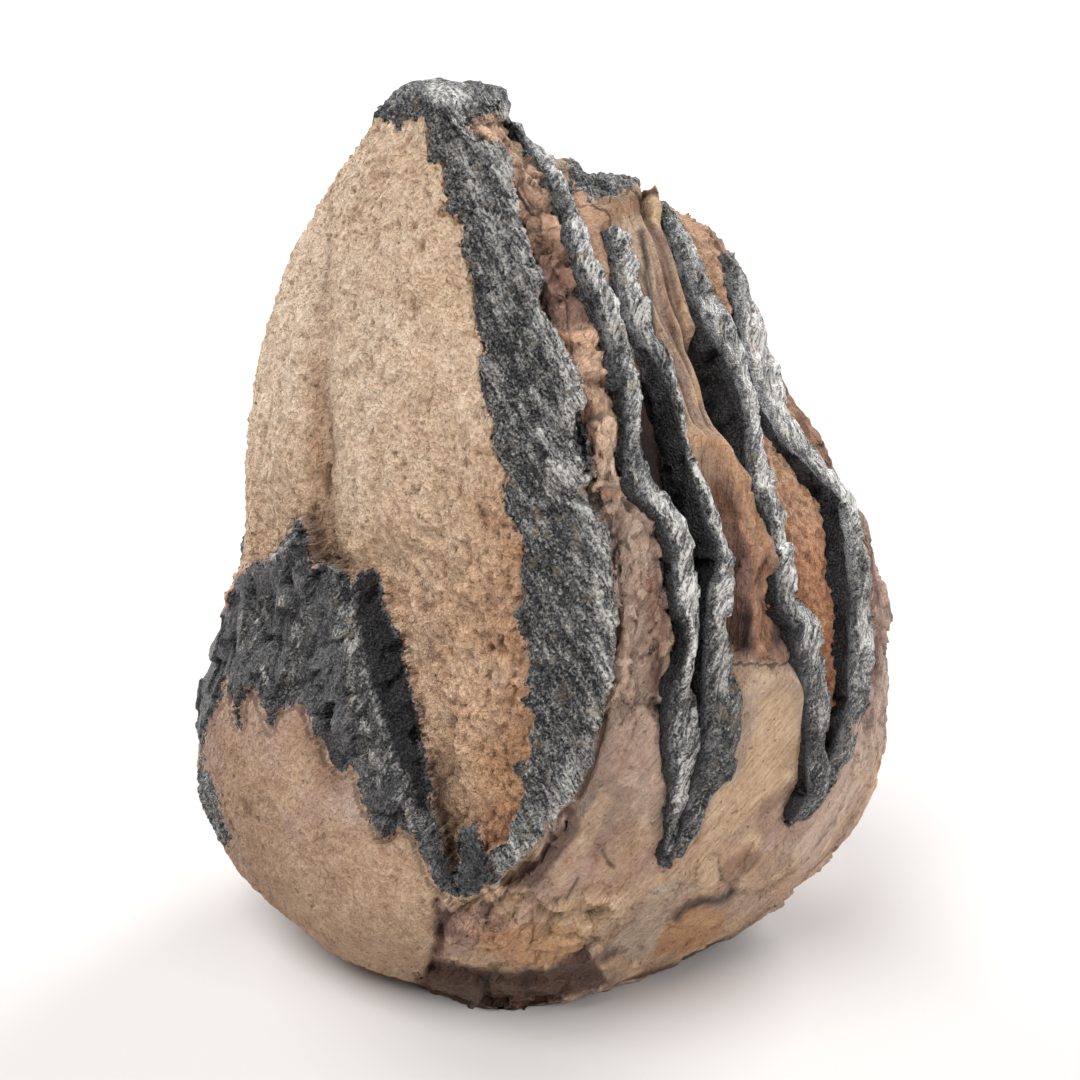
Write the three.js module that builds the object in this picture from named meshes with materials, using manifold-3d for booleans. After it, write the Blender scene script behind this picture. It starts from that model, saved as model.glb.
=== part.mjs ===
// Part of a fossil mammoth molar, standing on its worn root base.
//
// A mammoth molar is a stack of flat plates. Each plate is a core of dentine in a wall of hard enamel, and
// cement fills the space between plates. Here the stack runs along X, the plates stand across it in Y and Z,
// and one end face (-X) is the bare dentine core of a plate that has lost most of its outer enamel wall.
// The other walls come out on both flanks (-Y and +Y) and over the crown as raised ribs.
//
// The whole tooth grew as one piece, so it is one solid. Units are millimetres, +Z is up, and the origin is
// the middle of the tooth's footprint, on the surface it stands on.
import * as THREE from "three";
import { mergeVertices } from "three/addons/utils/BufferGeometryUtils.js";
import Module from "manifold-3d";

const wasm = await Module();
wasm.setup();

// ---- Driving dimensions -------------------------------------------------------------------------------

const FILL_SUNK = 1.5; // how far the dentine and cement between the walls have worn down
const RIB_ROOT = 6; // how deep a rib's solid goes into the tooth
const RIB_STEP = 4.8; // between two sections of a rib
const RIB_FOOT = 2.6; // how far below the surface a rib's two feet end
const END_WALL_PROUD = 1.3; // the end wall's rim, above the bare dentine beside it
const PATCH_PROUD = 1.2; // the enamel left on the lower part of the end face
const LUMP_HEIGHT = 0.35; // how uneven those two broken surfaces are

// The corner view: an oblique drawing of the tooth, seen by an eye to the front left of it and above. Lines
// and outlines of the near side are given on this drawing, across and down, in drawing units.
const DRAWING = {
  turn: THREE.MathUtils.degToRad(-40), // about Z, from looking along +Y
  tilt: THREE.MathUtils.degToRad(18), // above level
  eyeDistance: 195,
  aimHeight: 46.5,
  unitsAtOneMm: 1800, // drawing units covered by 1 mm that is 1 mm from the eye
  middle: 540, // the drawing's centre, across and down
};

// ---- The drawing's axes -------------------------------------------------------------------------------

const ACROSS = new THREE.Vector3(Math.cos(DRAWING.turn), Math.sin(DRAWING.turn), 0);
const NEAR = new THREE.Vector3(Math.sin(DRAWING.turn), -Math.cos(DRAWING.turn), 0);
const UP = new THREE.Vector3(0, 0, 1);
const TOWARDS_EYE = NEAR.clone()
  .multiplyScalar(Math.cos(DRAWING.tilt))
  .addScaledVector(UP, Math.sin(DRAWING.tilt));
const DRAWING_UP = TOWARDS_EYE.clone().cross(ACROSS);
const AIM = new THREE.Vector3(0, 0, DRAWING.aimHeight);
const EYE = AIM.clone().addScaledVector(TOWARDS_EYE, DRAWING.eyeDistance);

// The direction from the eye through a point of the drawing.
function sightLine(across, down) {
  return TOWARDS_EYE.clone()
    .multiplyScalar(-DRAWING.unitsAtOneMm)
    .addScaledVector(ACROSS, across - DRAWING.middle)
    .addScaledVector(DRAWING_UP, DRAWING.middle - down)
    .normalize();
}

// ---- The body -----------------------------------------------------------------------------------------

// Stations from the footprint to the crown's tip. Each gives the height, then the four furthest points of
// the level section as [across, near]: left, front, right and back.
const STATIONS = [
  { z: 0, left: [2, 2], front: [2, 2], right: [2, 2], back: [2, 2] },
  { z: 0, left: [-17, 3], front: [-3, 17.5], right: [19, 0], back: [1, -14] },
  { z: 0.8, left: [-22, 2], front: [-3, 19], right: [22.5, 0], back: [0, -17] },
  { z: 2.5, left: [-27.5, 1], front: [-3, 20.5], right: [26, 0], back: [0, -20] },
  { z: 6, left: [-33, -1], front: [-3, 22.5], right: [30, 0], back: [0, -24] },
  { z: 11, left: [-36.5, -2], front: [-3, 25.5], right: [34, 1], back: [0, -26.5] },
  { z: 17.5, left: [-38.3, -3], front: [-1, 27.5], right: [37.5, 1], back: [0, -28.5] },
  { z: 27, left: [-37.5, -4], front: [3, 29.2], right: [38.2, 2], back: [-1, -29.5] },
  { z: 36.5, left: [-34.8, -5], front: [6, 29.5], right: [38.2, 1], back: [-2, -29.5] },
  { z: 46.5, left: [-32.8, -5], front: [7, 29], right: [36, 0], back: [-3, -28.5] },
  { z: 56.5, left: [-31.8, -5], front: [6, 27], right: [30.5, -3], back: [-4, -26.5] },
  { z: 66, left: [-30, -5], front: [4, 24], right: [25, -6], back: [-5, -23.5] },
  { z: 74, left: [-27, -4], front: [1, 19.5], right: [21, -9], back: [-6, -20] },
  { z: 80, left: [-24, -3], front: [-1.5, 16], right: [15, -8], back: [-7, -16.5] },
  { z: 85.5, left: [-20.5, -1], front: [-4, 11.5], right: [5, -4], back: [-8, -12] },
  { z: 90, left: [-17, 0], front: [-6, 8.5], right: [-2.8, 0], back: [-9.5, -7] },
  { z: 93.6, left: [-14.6, 1], front: [-8, 6], right: [-5.2, 1], back: [-10, -4] },
  { z: 95.2, left: [-10, 1], front: [-10, 1], right: [-10, 1], back: [-10, 1] },
];
// How square each quarter of a section is: 2 is an ellipse's, and a lower number is nearer to a flat cut.
const SQUARENESS = { frontLeft: 1.62, frontRight: 1.5, backRight: 1.9, backLeft: 1.9 };

function catmullRom(a, b, c, d, t) {
  return (
    b + 0.5 * t * (c - a + t * (2 * a - 5 * b + 4 * c - d + t * (3 * (b - c) + d - a)))
  );
}

// The station between two given ones, at a whole-and-part number such as 3.25.
function stationAt(place) {
  const i = Math.min(Math.floor(place), STATIONS.length - 2);
  const near = [i - 1, i, i + 1, i + 2].map(
    (k) => STATIONS[THREE.MathUtils.clamp(k, 0, STATIONS.length - 1)],
  );
  const mix = (pick) => catmullRom(...near.map(pick), place - i);
  const corner = (side) => [0, 1].map((axis) => mix((s) => s[side][axis]));
  return {
    z: mix((s) => s.z),
    left: corner("left"),
    front: corner("front"),
    right: corner("right"),
    back: corner("back"),
  };
}

// The point of a station's outline at an angle: 0 is its right, a quarter turn on is its front.
function outlineAt(station, angle) {
  const cosine = Math.cos(angle);
  const sine = Math.sin(angle);
  const side = cosine >= 0 ? station.right : station.left;
  const end = sine >= 0 ? station.front : station.back;
  const quarter =
    (sine >= 0 ? "front" : "back") + (cosine >= 0 ? "Right" : "Left");
  const power = 2 / SQUARENESS[quarter];
  const sideways = Math.abs(cosine) ** power;
  const endways = Math.abs(sine) ** power;
  const across = end[0] + (side[0] - end[0]) * sideways;
  const near = side[1] + (end[1] - side[1]) * endways;
  return new THREE.Vector3(0, 0, station.z)
    .addScaledVector(ACROSS, across)
    .addScaledVector(NEAR, near);
}

// How many faces there are around the body: the near half, with its finer detail, has more of them.
const AROUND = { near: 46, far: 21 };
const RING_SPACING = 3.1; // wanted height of a ring of faces

// The angles of the outline's corners, from the right round the near side and back.
function anglesAround() {
  const near = Array.from({ length: AROUND.near }, (_, i) => (Math.PI * i) / AROUND.near);
  const far = Array.from({ length: AROUND.far }, (_, i) => Math.PI * (1 + i / AROUND.far));
  return [...near, ...far, 2 * Math.PI];
}

// The places of the rings along the stations, from the footprint up to the crown's tip.
function ringPlaces() {
  const places = [];
  for (let i = 0; i < STATIONS.length - 1; i += 1) {
    const rise = STATIONS[i + 1].z - STATIONS[i].z;
    const rings = Math.max(1, Math.round(rise / RING_SPACING));
    for (let k = 0; k < rings; k += 1) places.push(i + k / rings);
  }
  places.push(STATIONS.length - 1);
  return places;
}

// Broad hollows and swellings of the near side: a stroke on the drawing, how wide it fades to either side
// in drawing units, and how far it lifts the surface in mm.
const SWELLINGS = [
  { from: [340, 200], to: [329, 330], fade: 24, lift: -0.9 }, // groove of the bare end face
  { from: [329, 330], to: [331, 440], fade: 25, lift: -1.3 },
  { from: [331, 440], to: [345, 570], fade: 25, lift: -1.6 },
  { from: [365, 520], to: [490, 860], fade: 75, lift: -1.7 }, // foot of the bare dentine
  { from: [425, 760], to: [475, 850], fade: 40, lift: -1.5 },
  { from: [240, 700], to: [330, 850], fade: 60, lift: 0.8 }, // root swelling below the patch
  { from: [420, 915], to: [350, 935], fade: 45, lift: 1.2 },
  { from: [650, 372], to: [700, 545], fade: 20, lift: -2.6 }, // hollow core between two walls
  { from: [704, 600], to: [712, 770], fade: 18, lift: -2.2 },
  { from: [690, 330], to: [738, 440], fade: 18, lift: -1.4 },
  { from: [752, 545], to: [768, 640], fade: 22, lift: -2.6 }, // broken cement
  { from: [722, 440], to: [728, 485], fade: 22, lift: 2.0 }, // boss of cement
  { from: [765, 680], to: [785, 690], fade: 24, lift: 2.0 },
  { from: [610, 205], to: [650, 205], fade: 22, lift: 1.2 },
  { from: [545, 965], to: [430, 975], fade: 30, lift: -1.2 }, // broken step under the near corner
];

// The same for the far side and the ends, as balls: where the middle is, how wide it fades and how far it
// lifts the surface, in mm.
const FAR_SWELLINGS = [
  { at: [-9, 31, 30], fade: 8, lift: -1.8 }, // broken hollow over the root
  { at: [10, 31, 58], fade: 7, lift: -1.6 },
  { at: [20, 27, 34], fade: 9, lift: 1.4 },
  { at: [-20, 25, 18], fade: 9, lift: 1.5 }, // root lumps
  { at: [8, 30, 12], fade: 8, lift: 1.3 },
  { at: [31, 10, 44], fade: 9, lift: -1.8 }, // flaked cement of the far end
  { at: [33, -6, 30], fade: 8, lift: 1.2 },
  { at: [27, 8, 66], fade: 8, lift: -1.4 },
  { at: [30, 12, 16], fade: 8, lift: -1.4 },
  { at: [-27, 14, 44], fade: 8, lift: -1.2 },
];

// The flanks between the first and last wall, from the base up, have worn down between the ribs.
const WORN_FLANK = { x: [-13, -9, 21, 26], z: [16, 26] };

// Worn facets: a point of the drawing on each, and how far below the old surface the flat lies, in mm.
const FACETS = [
  { at: [752, 812], depth: 1.5 },
  { at: [612, 862], depth: 1.1 },
  { at: [690, 925], depth: 1.3 },
  { at: [835, 800], depth: 0.8 },
];

function distanceToStroke(x, y, [x0, y0], [x1, y1]) {
  const lengthSquared = (x1 - x0) ** 2 + (y1 - y0) ** 2;
  const along = ((x - x0) * (x1 - x0) + (y - y0) * (y1 - y0)) / lengthSquared;
  const t = THREE.MathUtils.clamp(along, 0, 1);
  return Math.hypot(x - x0 - t * (x1 - x0), y - y0 - t * (y1 - y0));
}

// Where a point shows on the drawing, across and down.
function onDrawing(point) {
  const fromAim = point.clone().sub(AIM);
  const scale =
    DRAWING.unitsAtOneMm / (DRAWING.eyeDistance - fromAim.dot(TOWARDS_EYE));
  return [
    DRAWING.middle + scale * fromAim.dot(ACROSS),
    DRAWING.middle - scale * fromAim.dot(DRAWING_UP),
  ];
}

// Moves every point of a closed geometry along its normal by lift(point, normal), in mm.
function liftPoints(geometry, lift) {
  const position = geometry.getAttribute("position");
  const normal = geometry.getAttribute("normal");
  const point = new THREE.Vector3();
  const outward = new THREE.Vector3();
  for (let i = 0; i < position.count; i += 1) {
    point.fromBufferAttribute(position, i);
    outward.fromBufferAttribute(normal, i);
    point.addScaledVector(outward, lift(point, outward));
    position.setXYZ(i, point.x, point.y, point.z);
  }
  geometry.computeVertexNormals();
}

function swellingAt(point, outward) {
  const { smoothstep } = THREE.MathUtils;
  const { x: ends, z: rise } = WORN_FLANK;
  const worn =
    smoothstep(point.x, ends[0], ends[1]) *
    (1 - smoothstep(point.x, ends[2], ends[3])) *
    smoothstep(point.z, ...rise);
  let sunk = -FILL_SUNK * worn;
  for (const ball of FAR_SWELLINGS) {
    const away = Math.hypot(point.x - ball.at[0], point.y - ball.at[1], point.z - ball.at[2]) / ball.fade;
    sunk += ball.lift * Math.exp(-away * away);
  }
  const facing = smoothstep(outward.dot(TOWARDS_EYE), 0, 0.35);
  if (facing === 0) return sunk;
  const [x, y] = onDrawing(point);
  let lift = 0;
  for (const stroke of SWELLINGS) {
    const away = distanceToStroke(x, y, stroke.from, stroke.to) / stroke.fade;
    lift += stroke.lift * Math.exp(-away * away);
  }
  return sunk + facing * lift;
}

// The smooth body, before its swellings and facets.
function loftedBody() {
  const angles = anglesAround();
  const places = ringPlaces();
  const sphere = new THREE.SphereGeometry(1, angles.length - 1, places.length - 1);
  const position = sphere.getAttribute("position");
  places.forEach((place, ring) => {
    const station = stationAt(place);
    angles.forEach((angle, column) => {
      const point = outlineAt(station, angle);
      position.setXYZ(ring * angles.length + column, point.x, point.y, point.z);
    });
  });
  // One shared point for each corner, so that the normals run smoothly over the sphere's seam and poles.
  sphere.deleteAttribute("normal");
  sphere.deleteAttribute("uv");
  const merged = mergeVertices(sphere, 1e-4);
  merged.computeVertexNormals();
  return merged;
}

// The first point of a geometry that a ray meets, with the smooth outward direction there.
function firstHit(geometry, origin, direction) {
  const target = new THREE.Mesh(geometry, new THREE.MeshBasicMaterial());
  const [hit] = new THREE.Raycaster(origin, direction).intersectObject(target);
  return hit;
}

function flattenFacets(geometry, smooth) {
  const position = geometry.getAttribute("position");
  const point = new THREE.Vector3();
  for (const facet of FACETS) {
    const hit = firstHit(smooth, EYE, sightLine(...facet.at));
    const outward = hit.normal ?? hit.face.normal;
    for (let i = 0; i < position.count; i += 1) {
      point.fromBufferAttribute(position, i);
      const proud = point.clone().sub(hit.point).dot(outward) + facet.depth;
      if (proud > 0) point.addScaledVector(outward, -proud);
      position.setXYZ(i, point.x, point.y, point.z);
    }
  }
  geometry.computeVertexNormals();
}

function wornBody(smooth) {
  const geometry = smooth.clone();
  liftPoints(geometry, swellingAt);
  flattenFacets(geometry, smooth);
  return geometry;
}

// ---- Enamel walls -------------------------------------------------------------------------------------

// The ribs of the enamel walls: how wide each is along the stack and how far it stands above the unworn
// flank, in mm, and its centre line on the near flank, from its foot up, on the drawing.
const WALLS = [
  {
    width: 4.4,
    height: 0.7,
    line: [
      [667, 872], [681, 820], [684, 770], [680, 705], [685, 640], [684, 585], [672, 530], [650, 494],
      [634, 468], [632, 430], [616, 352], [590, 283], [563, 208], [540, 158], [515, 130],
    ],
  },
  {
    width: 3.0,
    height: 0.5,
    line: [
      [676, 862], [702, 800], [726, 740], [733, 690], [722, 620], [731, 568], [712, 497], [688, 430],
      [652, 340], [631, 288], [622, 255], [611, 228],
    ],
  },
  {
    width: 4.6,
    height: 0.6,
    line: [
      [796, 830], [818, 765], [822, 700], [806, 635], [787, 565], [762, 480], [756, 440], [730, 372],
      [710, 315], [690, 258], [663, 207],
    ],
  },
  {
    width: 4.0,
    height: 0.6,
    line: [
      [826, 800], [846, 748], [853, 680], [850, 610], [842, 550], [826, 492], [803, 440], [777, 385],
      [752, 315], [735, 262],
    ],
  },
];
// The end wall's rib comes out only on the far flank and the crown; this is the middle of its near rim.
const END_WALL = {
  width: 4.4,
  height: 0.7,
  line: [
    [515, 865], [560, 790], [575, 700], [578, 600], [555, 490], [536, 390], [505, 270], [470, 160],
    [450, 110],
  ],
};

const CROWN_STEPS = 7; // sections of a rib over the crown

// The surface point of the body that is furthest to one side, at a place along the stack and a height.
function flankPoint(body, x, z, side) {
  const start = new THREE.Vector3(x, side * 200, z);
  const hit = firstHit(body, start, new THREE.Vector3(0, -side, 0));
  return hit && hit.point;
}

// A wall's rim: up the near flank, over the crown and down the far flank.
function rimPoints(body, line, withNear) {
  const near = line
    .map(([across, down]) => firstHit(body, EYE, sightLine(across, down)))
    .filter(Boolean)
    .map((hit) => hit.point);
  const far = near.map((p) => flankPoint(body, p.x, p.z, 1)).filter(Boolean).reverse();
  const start = near[near.length - 1];
  const end = far[0];
  const hub = start.clone().add(end).multiplyScalar(0.5);
  hub.z = Math.min(start.z, end.z) - 12;
  const angleOf = (p) => Math.atan2(p.z - hub.z, p.y - hub.y);
  const crown = [];
  for (let i = 1; i < CROWN_STEPS; i += 1) {
    const angle = THREE.MathUtils.lerp(angleOf(start), angleOf(end), i / CROWN_STEPS);
    const outward = new THREE.Vector3(0, Math.cos(angle), Math.sin(angle));
    const hit = firstHit(
      body,
      hub.clone().addScaledVector(outward, 200),
      outward.clone().negate(),
    );
    if (hit) crown.push(hit.point);
  }
  return withNear ? [...near, ...crown, ...far] : [...crown, ...far];
}

// The section of a rib, from its keel round over its top: [along the stack, outward].
function ribSection({ width, height }) {
  const half = width / 2;
  return [
    [0, -RIB_ROOT], [0.9 * half, 0.8 - RIB_ROOT], [0.9 * half, 0.2 * height], [0.3 * half, height],
    [-0.5 * half, 0.9 * height], [-0.9 * half, 0.8 - RIB_ROOT],
  ];
}

// A rib: a bar bent along a wall's rim, whose two feet sink into the tooth.
function ribGeometry(rim, wall) {
  const curve = new THREE.CatmullRomCurve3(rim, false, "centripetal");
  const steps = Math.round(curve.getLength() / RIB_STEP);
  const section = ribSection(wall);
  const bar = new THREE.CylinderGeometry(1, 1, 1, section.length, steps);
  const position = bar.getAttribute("position");
  const centre = new THREE.Vector3(rim[0].x, 0, 0.45 * DRAWING.aimHeight);
  for (let i = 0; i < position.count; i += 1) {
    const share = THREE.MathUtils.clamp(0.5 - position.getY(i), 0, 1);
    const place = curve.getPointAt(share);
    const tangent = curve.getTangentAt(share);
    const sideways = new THREE.Vector3(1, 0, 0).addScaledVector(tangent, -tangent.x).normalize();
    const outward = tangent.clone().cross(sideways).normalize();
    if (outward.dot(place.clone().sub(centre)) < 0) outward.negate();
    const onAxis = Math.hypot(position.getX(i), position.getZ(i)) < 1e-6;
    const turn = Math.atan2(position.getX(i), position.getZ(i)) / (2 * Math.PI);
    const corner = THREE.MathUtils.euclideanModulo(
      Math.round(turn * section.length),
      section.length,
    );
    const [width, height] = onAxis ? [0, -RIB_ROOT / 2] : section[corner];
    const toFoot = Math.min(share, 1 - share) * steps;
    const sunk = RIB_FOOT * Math.max(0, 1 - toFoot / 3) ** 2;
    place.addScaledVector(sideways, width).addScaledVector(outward, height - sunk);
    position.setXYZ(i, place.x, place.y, place.z);
  }
  return bar;
}

// ---- Raised areas with an outline ---------------------------------------------------------------------

// The broad broken rim of the end wall, and its cap over the crown's tip.
const END_WALL_OUTLINE = [
  [378, 112], [388, 60], [520, 60], [520, 116], [500, 138], [527, 222], [541, 300], [566, 351],
  [585, 409], [593, 470], [583, 489], [604, 515], [613, 580], [613, 640], [603, 705], [583, 775],
  [552, 830], [490, 893], [492, 862], [522, 800], [513, 766], [533, 750], [523, 700], [529, 665],
  [515, 614], [522, 560], [503, 493], [494, 425], [479, 360], [485, 343], [464, 251], [443, 170],
  [426, 117], [388, 132],
];
// The ragged patch of the outer wall that is left low on the end face.
const PATCH_OUTLINE = [
  [150, 640], [238, 582], [283, 556], [297, 515], [309, 522], [312, 562], [336, 564], [350, 585],
  [378, 573], [403, 645], [421, 760], [436, 860], [470, 897], [440, 890], [414, 838], [380, 838],
  [358, 775], [334, 772], [305, 705], [271, 731], [244, 690], [224, 676], [205, 725], [150, 790],
];
const RAISED_DEPTH = [45, -14]; // how near the eye an outline's prism starts and ends, in mm from the axis

// A prism through an outline of the drawing, which narrows towards the eye so that it shows as drawn.
function sightPrism(outline) {
  const shape = new THREE.Shape(outline.map(([x, y]) => new THREE.Vector2(x, -y)));
  const prism = new THREE.ExtrudeGeometry(shape, { depth: 1, bevelEnabled: false });
  const position = prism.getAttribute("position");
  for (let i = 0; i < position.count; i += 1) {
    const near = THREE.MathUtils.lerp(RAISED_DEPTH[1], RAISED_DEPTH[0], position.getZ(i));
    const scale = (DRAWING.eyeDistance - near) / DRAWING.unitsAtOneMm;
    const point = AIM.clone()
      .addScaledVector(TOWARDS_EYE, near)
      .addScaledVector(ACROSS, (position.getX(i) - DRAWING.middle) * scale)
      .addScaledVector(DRAWING_UP, (position.getY(i) + DRAWING.middle) * scale);
    position.setXYZ(i, point.x, point.y, point.z);
  }
  return prism;
}

// The body grown outward by some mm, with the lumps of broken enamel.
function grown(body, by) {
  const geometry = body.clone();
  const lump = (p) => Math.sin(p.z / 1.7 + p.x / 2.3) * Math.cos(p.y / 2.1 - p.z / 3.1);
  liftPoints(geometry, (point) => by + LUMP_HEIGHT * lump(point));
  return geometry;
}

// ---- Solids -------------------------------------------------------------------------------------------

function solidFrom(geometry) {
  const bare = geometry.clone();
  bare.deleteAttribute("normal");
  bare.deleteAttribute("uv");
  const merged = mergeVertices(bare, 1e-4);
  return new wasm.Manifold(
    new wasm.Mesh({
      numProp: 3,
      vertProperties: merged.attributes.position.array,
      triVerts: new Uint32Array(merged.index.array),
    }),
  );
}

function geometryFrom(solid) {
  const { vertProperties, triVerts } = solid.getMesh();
  const geometry = new THREE.BufferGeometry();
  geometry.setAttribute("position", new THREE.BufferAttribute(vertProperties, 3));
  geometry.setIndex(new THREE.BufferAttribute(triVerts, 1));
  geometry.computeVertexNormals();
  return geometry;
}

// Everything below the ground, which leaves the footprint flat.
function groundGeometry() {
  return new THREE.BoxGeometry(200, 200, 20).translate(0, 0, -10);
}

function molarSolid() {
  const smooth = loftedBody();
  const body = wornBody(smooth);
  let solid = solidFrom(body);
  const raised = [
    [END_WALL_OUTLINE, END_WALL_PROUD],
    [PATCH_OUTLINE, PATCH_PROUD],
  ];
  for (const [outline, proud] of raised) {
    const layer = solidFrom(grown(body, proud)).intersect(solidFrom(sightPrism(outline)));
    solid = solid.add(layer);
  }
  for (const wall of WALLS) {
    solid = solid.add(solidFrom(ribGeometry(rimPoints(smooth, wall.line, true), wall)));
  }
  solid = solid.add(solidFrom(ribGeometry(rimPoints(smooth, END_WALL.line, false), END_WALL)));
  return solid.subtract(solidFrom(groundGeometry()));
}

const molar = new THREE.Group();
const fossil = new THREE.MeshStandardMaterial({ color: 0xa98c72, roughness: 0.8, metalness: 0 });
const mesh = new THREE.Mesh(geometryFrom(molarSolid()), fossil);
mesh.name = "molar";
molar.add(mesh);

export default molar;
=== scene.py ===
# %% [markdown]
# # A fossil mammoth molar
#
# A mammoth's cheek tooth is a stack of plates. Each plate has a core of dentine inside a wall of hard enamel,
# and cement fills the space between plates. After a long time in the ground the enamel of this one has gone
# slate black, the dentine tan and grainy and the cement brown. The tooth is a fragment: one end face is the
# bare core of a plate, and the walls behind it come out on the flank as raised ribs.
#
# The lesson builds it the way a modeller would block out a stone: a smooth body first, then broad hollows,
# then the ribs, then the broken texture, and the colour last. The CAD solid is loaded as the frame, and the
# detailed pieces take its place.

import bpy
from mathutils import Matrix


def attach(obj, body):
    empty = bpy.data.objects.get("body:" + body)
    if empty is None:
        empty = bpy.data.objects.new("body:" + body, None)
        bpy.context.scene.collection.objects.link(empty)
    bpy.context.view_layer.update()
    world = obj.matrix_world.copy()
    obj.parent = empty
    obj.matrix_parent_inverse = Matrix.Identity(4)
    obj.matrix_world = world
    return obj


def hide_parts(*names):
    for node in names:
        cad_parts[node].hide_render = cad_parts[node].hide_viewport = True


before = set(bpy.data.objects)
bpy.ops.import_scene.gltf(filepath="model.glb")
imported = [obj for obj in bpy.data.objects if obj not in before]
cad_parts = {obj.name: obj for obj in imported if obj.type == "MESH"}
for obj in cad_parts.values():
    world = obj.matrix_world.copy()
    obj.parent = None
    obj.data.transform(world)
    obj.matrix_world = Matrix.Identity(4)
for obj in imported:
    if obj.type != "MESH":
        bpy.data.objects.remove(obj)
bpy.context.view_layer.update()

# %% Libraries and the working unit
import itertools
import math

import bmesh
import bpy
import numpy as np
from mathutils import Vector
from mathutils.bvhtree import BVHTree

MM = 0.001  # the tooth is shaped in millimetres and turned to metres when a mesh is made
scene = bpy.context.scene
scene.unit_settings.system = "METRIC"
print("working in millimetres; 1 unit of the scene is", round(1 / MM), "mm")

# %% [markdown]
# ## The corner view
#
# A broken tooth has no straight edges to measure from, so its lines are laid out as an illustrator would, on
# one oblique drawing of its near corner. A point of the drawing is two numbers, across and down. From the
# drawing's eye a line of sight through that point meets the body, and that gives the place in space. The
# same eye is later the camera.

# %% The drawing's eye and axes
DRAWING_TURN = math.radians(-40)
DRAWING_TILT = math.radians(18)
EYE_DISTANCE = 195.0
AIM = np.array([0.0, 0.0, 46.5])
DRAWING_SCALE = 1800.0  # drawing units that cover 1 mm at a distance of 1 mm
DRAWING_MIDDLE = 540.0

ACROSS = np.array([math.cos(DRAWING_TURN), math.sin(DRAWING_TURN), 0.0])
NEAR = np.array([math.sin(DRAWING_TURN), -math.cos(DRAWING_TURN), 0.0])
TO_EYE = NEAR * math.cos(DRAWING_TILT) + np.array([0.0, 0.0, math.sin(DRAWING_TILT)])
DRAWING_UP = np.cross(TO_EYE, ACROSS)
EYE = AIM + EYE_DISTANCE * TO_EYE
print("eye, mm:", EYE.round(1))


def on_drawing(points):
    """Where points in mm show on the drawing, across and down."""
    from_aim = points - AIM
    scale = DRAWING_SCALE / (EYE_DISTANCE - from_aim @ TO_EYE)
    across = DRAWING_MIDDLE + scale * (from_aim @ ACROSS)
    down = DRAWING_MIDDLE - scale * (from_aim @ DRAWING_UP)
    return across, down


def sight_line(across, down):
    """The direction from the eye through a point of the drawing."""
    line = (
        -DRAWING_SCALE * TO_EYE
        + (across - DRAWING_MIDDLE) * ACROSS
        + (DRAWING_MIDDLE - down) * DRAWING_UP
    )
    return line / np.linalg.norm(line)


# %% [markdown]
# ## The smooth body
#
# Stone that has rolled in a river has no hard form left, so the body is a loft: level sections at eighteen
# heights, each given by its furthest points to the left, front, right and back, joined by smooth curves. The
# sections lean, because the crown's tip stands over the end face and not over the middle of the root.

# %% Level sections of the body
# Height, then left, front, right and back as (across, near), in mm.
SECTIONS = np.array(
    [
        [0, 2, 2, 2, 2, 2, 2, 2, 2],
        [0, -17, 3, -3, 17.5, 19, 0, 1, -14],
        [0.8, -22, 2, -3, 19, 22.5, 0, 0, -17],
        [2.5, -27.5, 1, -3, 20.5, 26, 0, 0, -20],
        [6, -33, -1, -3, 22.5, 30, 0, 0, -24],
        [11, -36.5, -2, -3, 25.5, 34, 1, 0, -26.5],
        [17.5, -38.3, -3, -1, 27.5, 37.5, 1, 0, -28.5],
        [27, -37.5, -4, 3, 29.2, 38.2, 2, -1, -29.5],
        [36.5, -34.8, -5, 6, 29.5, 38.2, 1, -2, -29.5],
        [46.5, -32.8, -5, 7, 29, 36, 0, -3, -28.5],
        [56.5, -31.8, -5, 6, 27, 30.5, -3, -4, -26.5],
        [66, -30, -5, 4, 24, 25.8, -6, -5, -23.5],
        [74, -27, -4, 1, 19.5, 24, -9, -6, -20],
        [80, -24, -3, -1.5, 16, 18, -8, -7, -16.5],
        [85.5, -20.5, -1, -4, 11.5, 5, -4, -8, -12],
        [90, -17, 0, -6, 8.5, -2.8, 0, -9.5, -7],
        [93.6, -14.6, 1, -8, 6, -5.2, 1, -10, -4],
        [95.2, -10, 1, -10, 1, -10, 1, -10, 1],
    ],
    float,
)
# How square each quarter of a section is: 1 is a diamond, 2 is round.
FRONT_LEFT, FRONT_RIGHT, BACK_RIGHT, BACK_LEFT = 1.62, 1.5, 1.9, 1.9
print(len(SECTIONS), "sections from", SECTIONS[0][0], "to", SECTIONS[-1][0], "mm")

# %% Points between the sections


def section_at(place):
    """The sections at fractional places in the list, by a curve through the given ones."""
    first = np.clip(np.floor(place).astype(int), 0, len(SECTIONS) - 2)
    rows = [np.clip(first + k, 0, len(SECTIONS) - 1) for k in (-1, 0, 1, 2)]
    a, b, c, d = (SECTIONS[row] for row in rows)
    t = (place - first)[:, None]
    return b + 0.5 * t * (c - a + t * (2 * a - 5 * b + 4 * c - d + t * (3 * (b - c) + d - a)))


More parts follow.
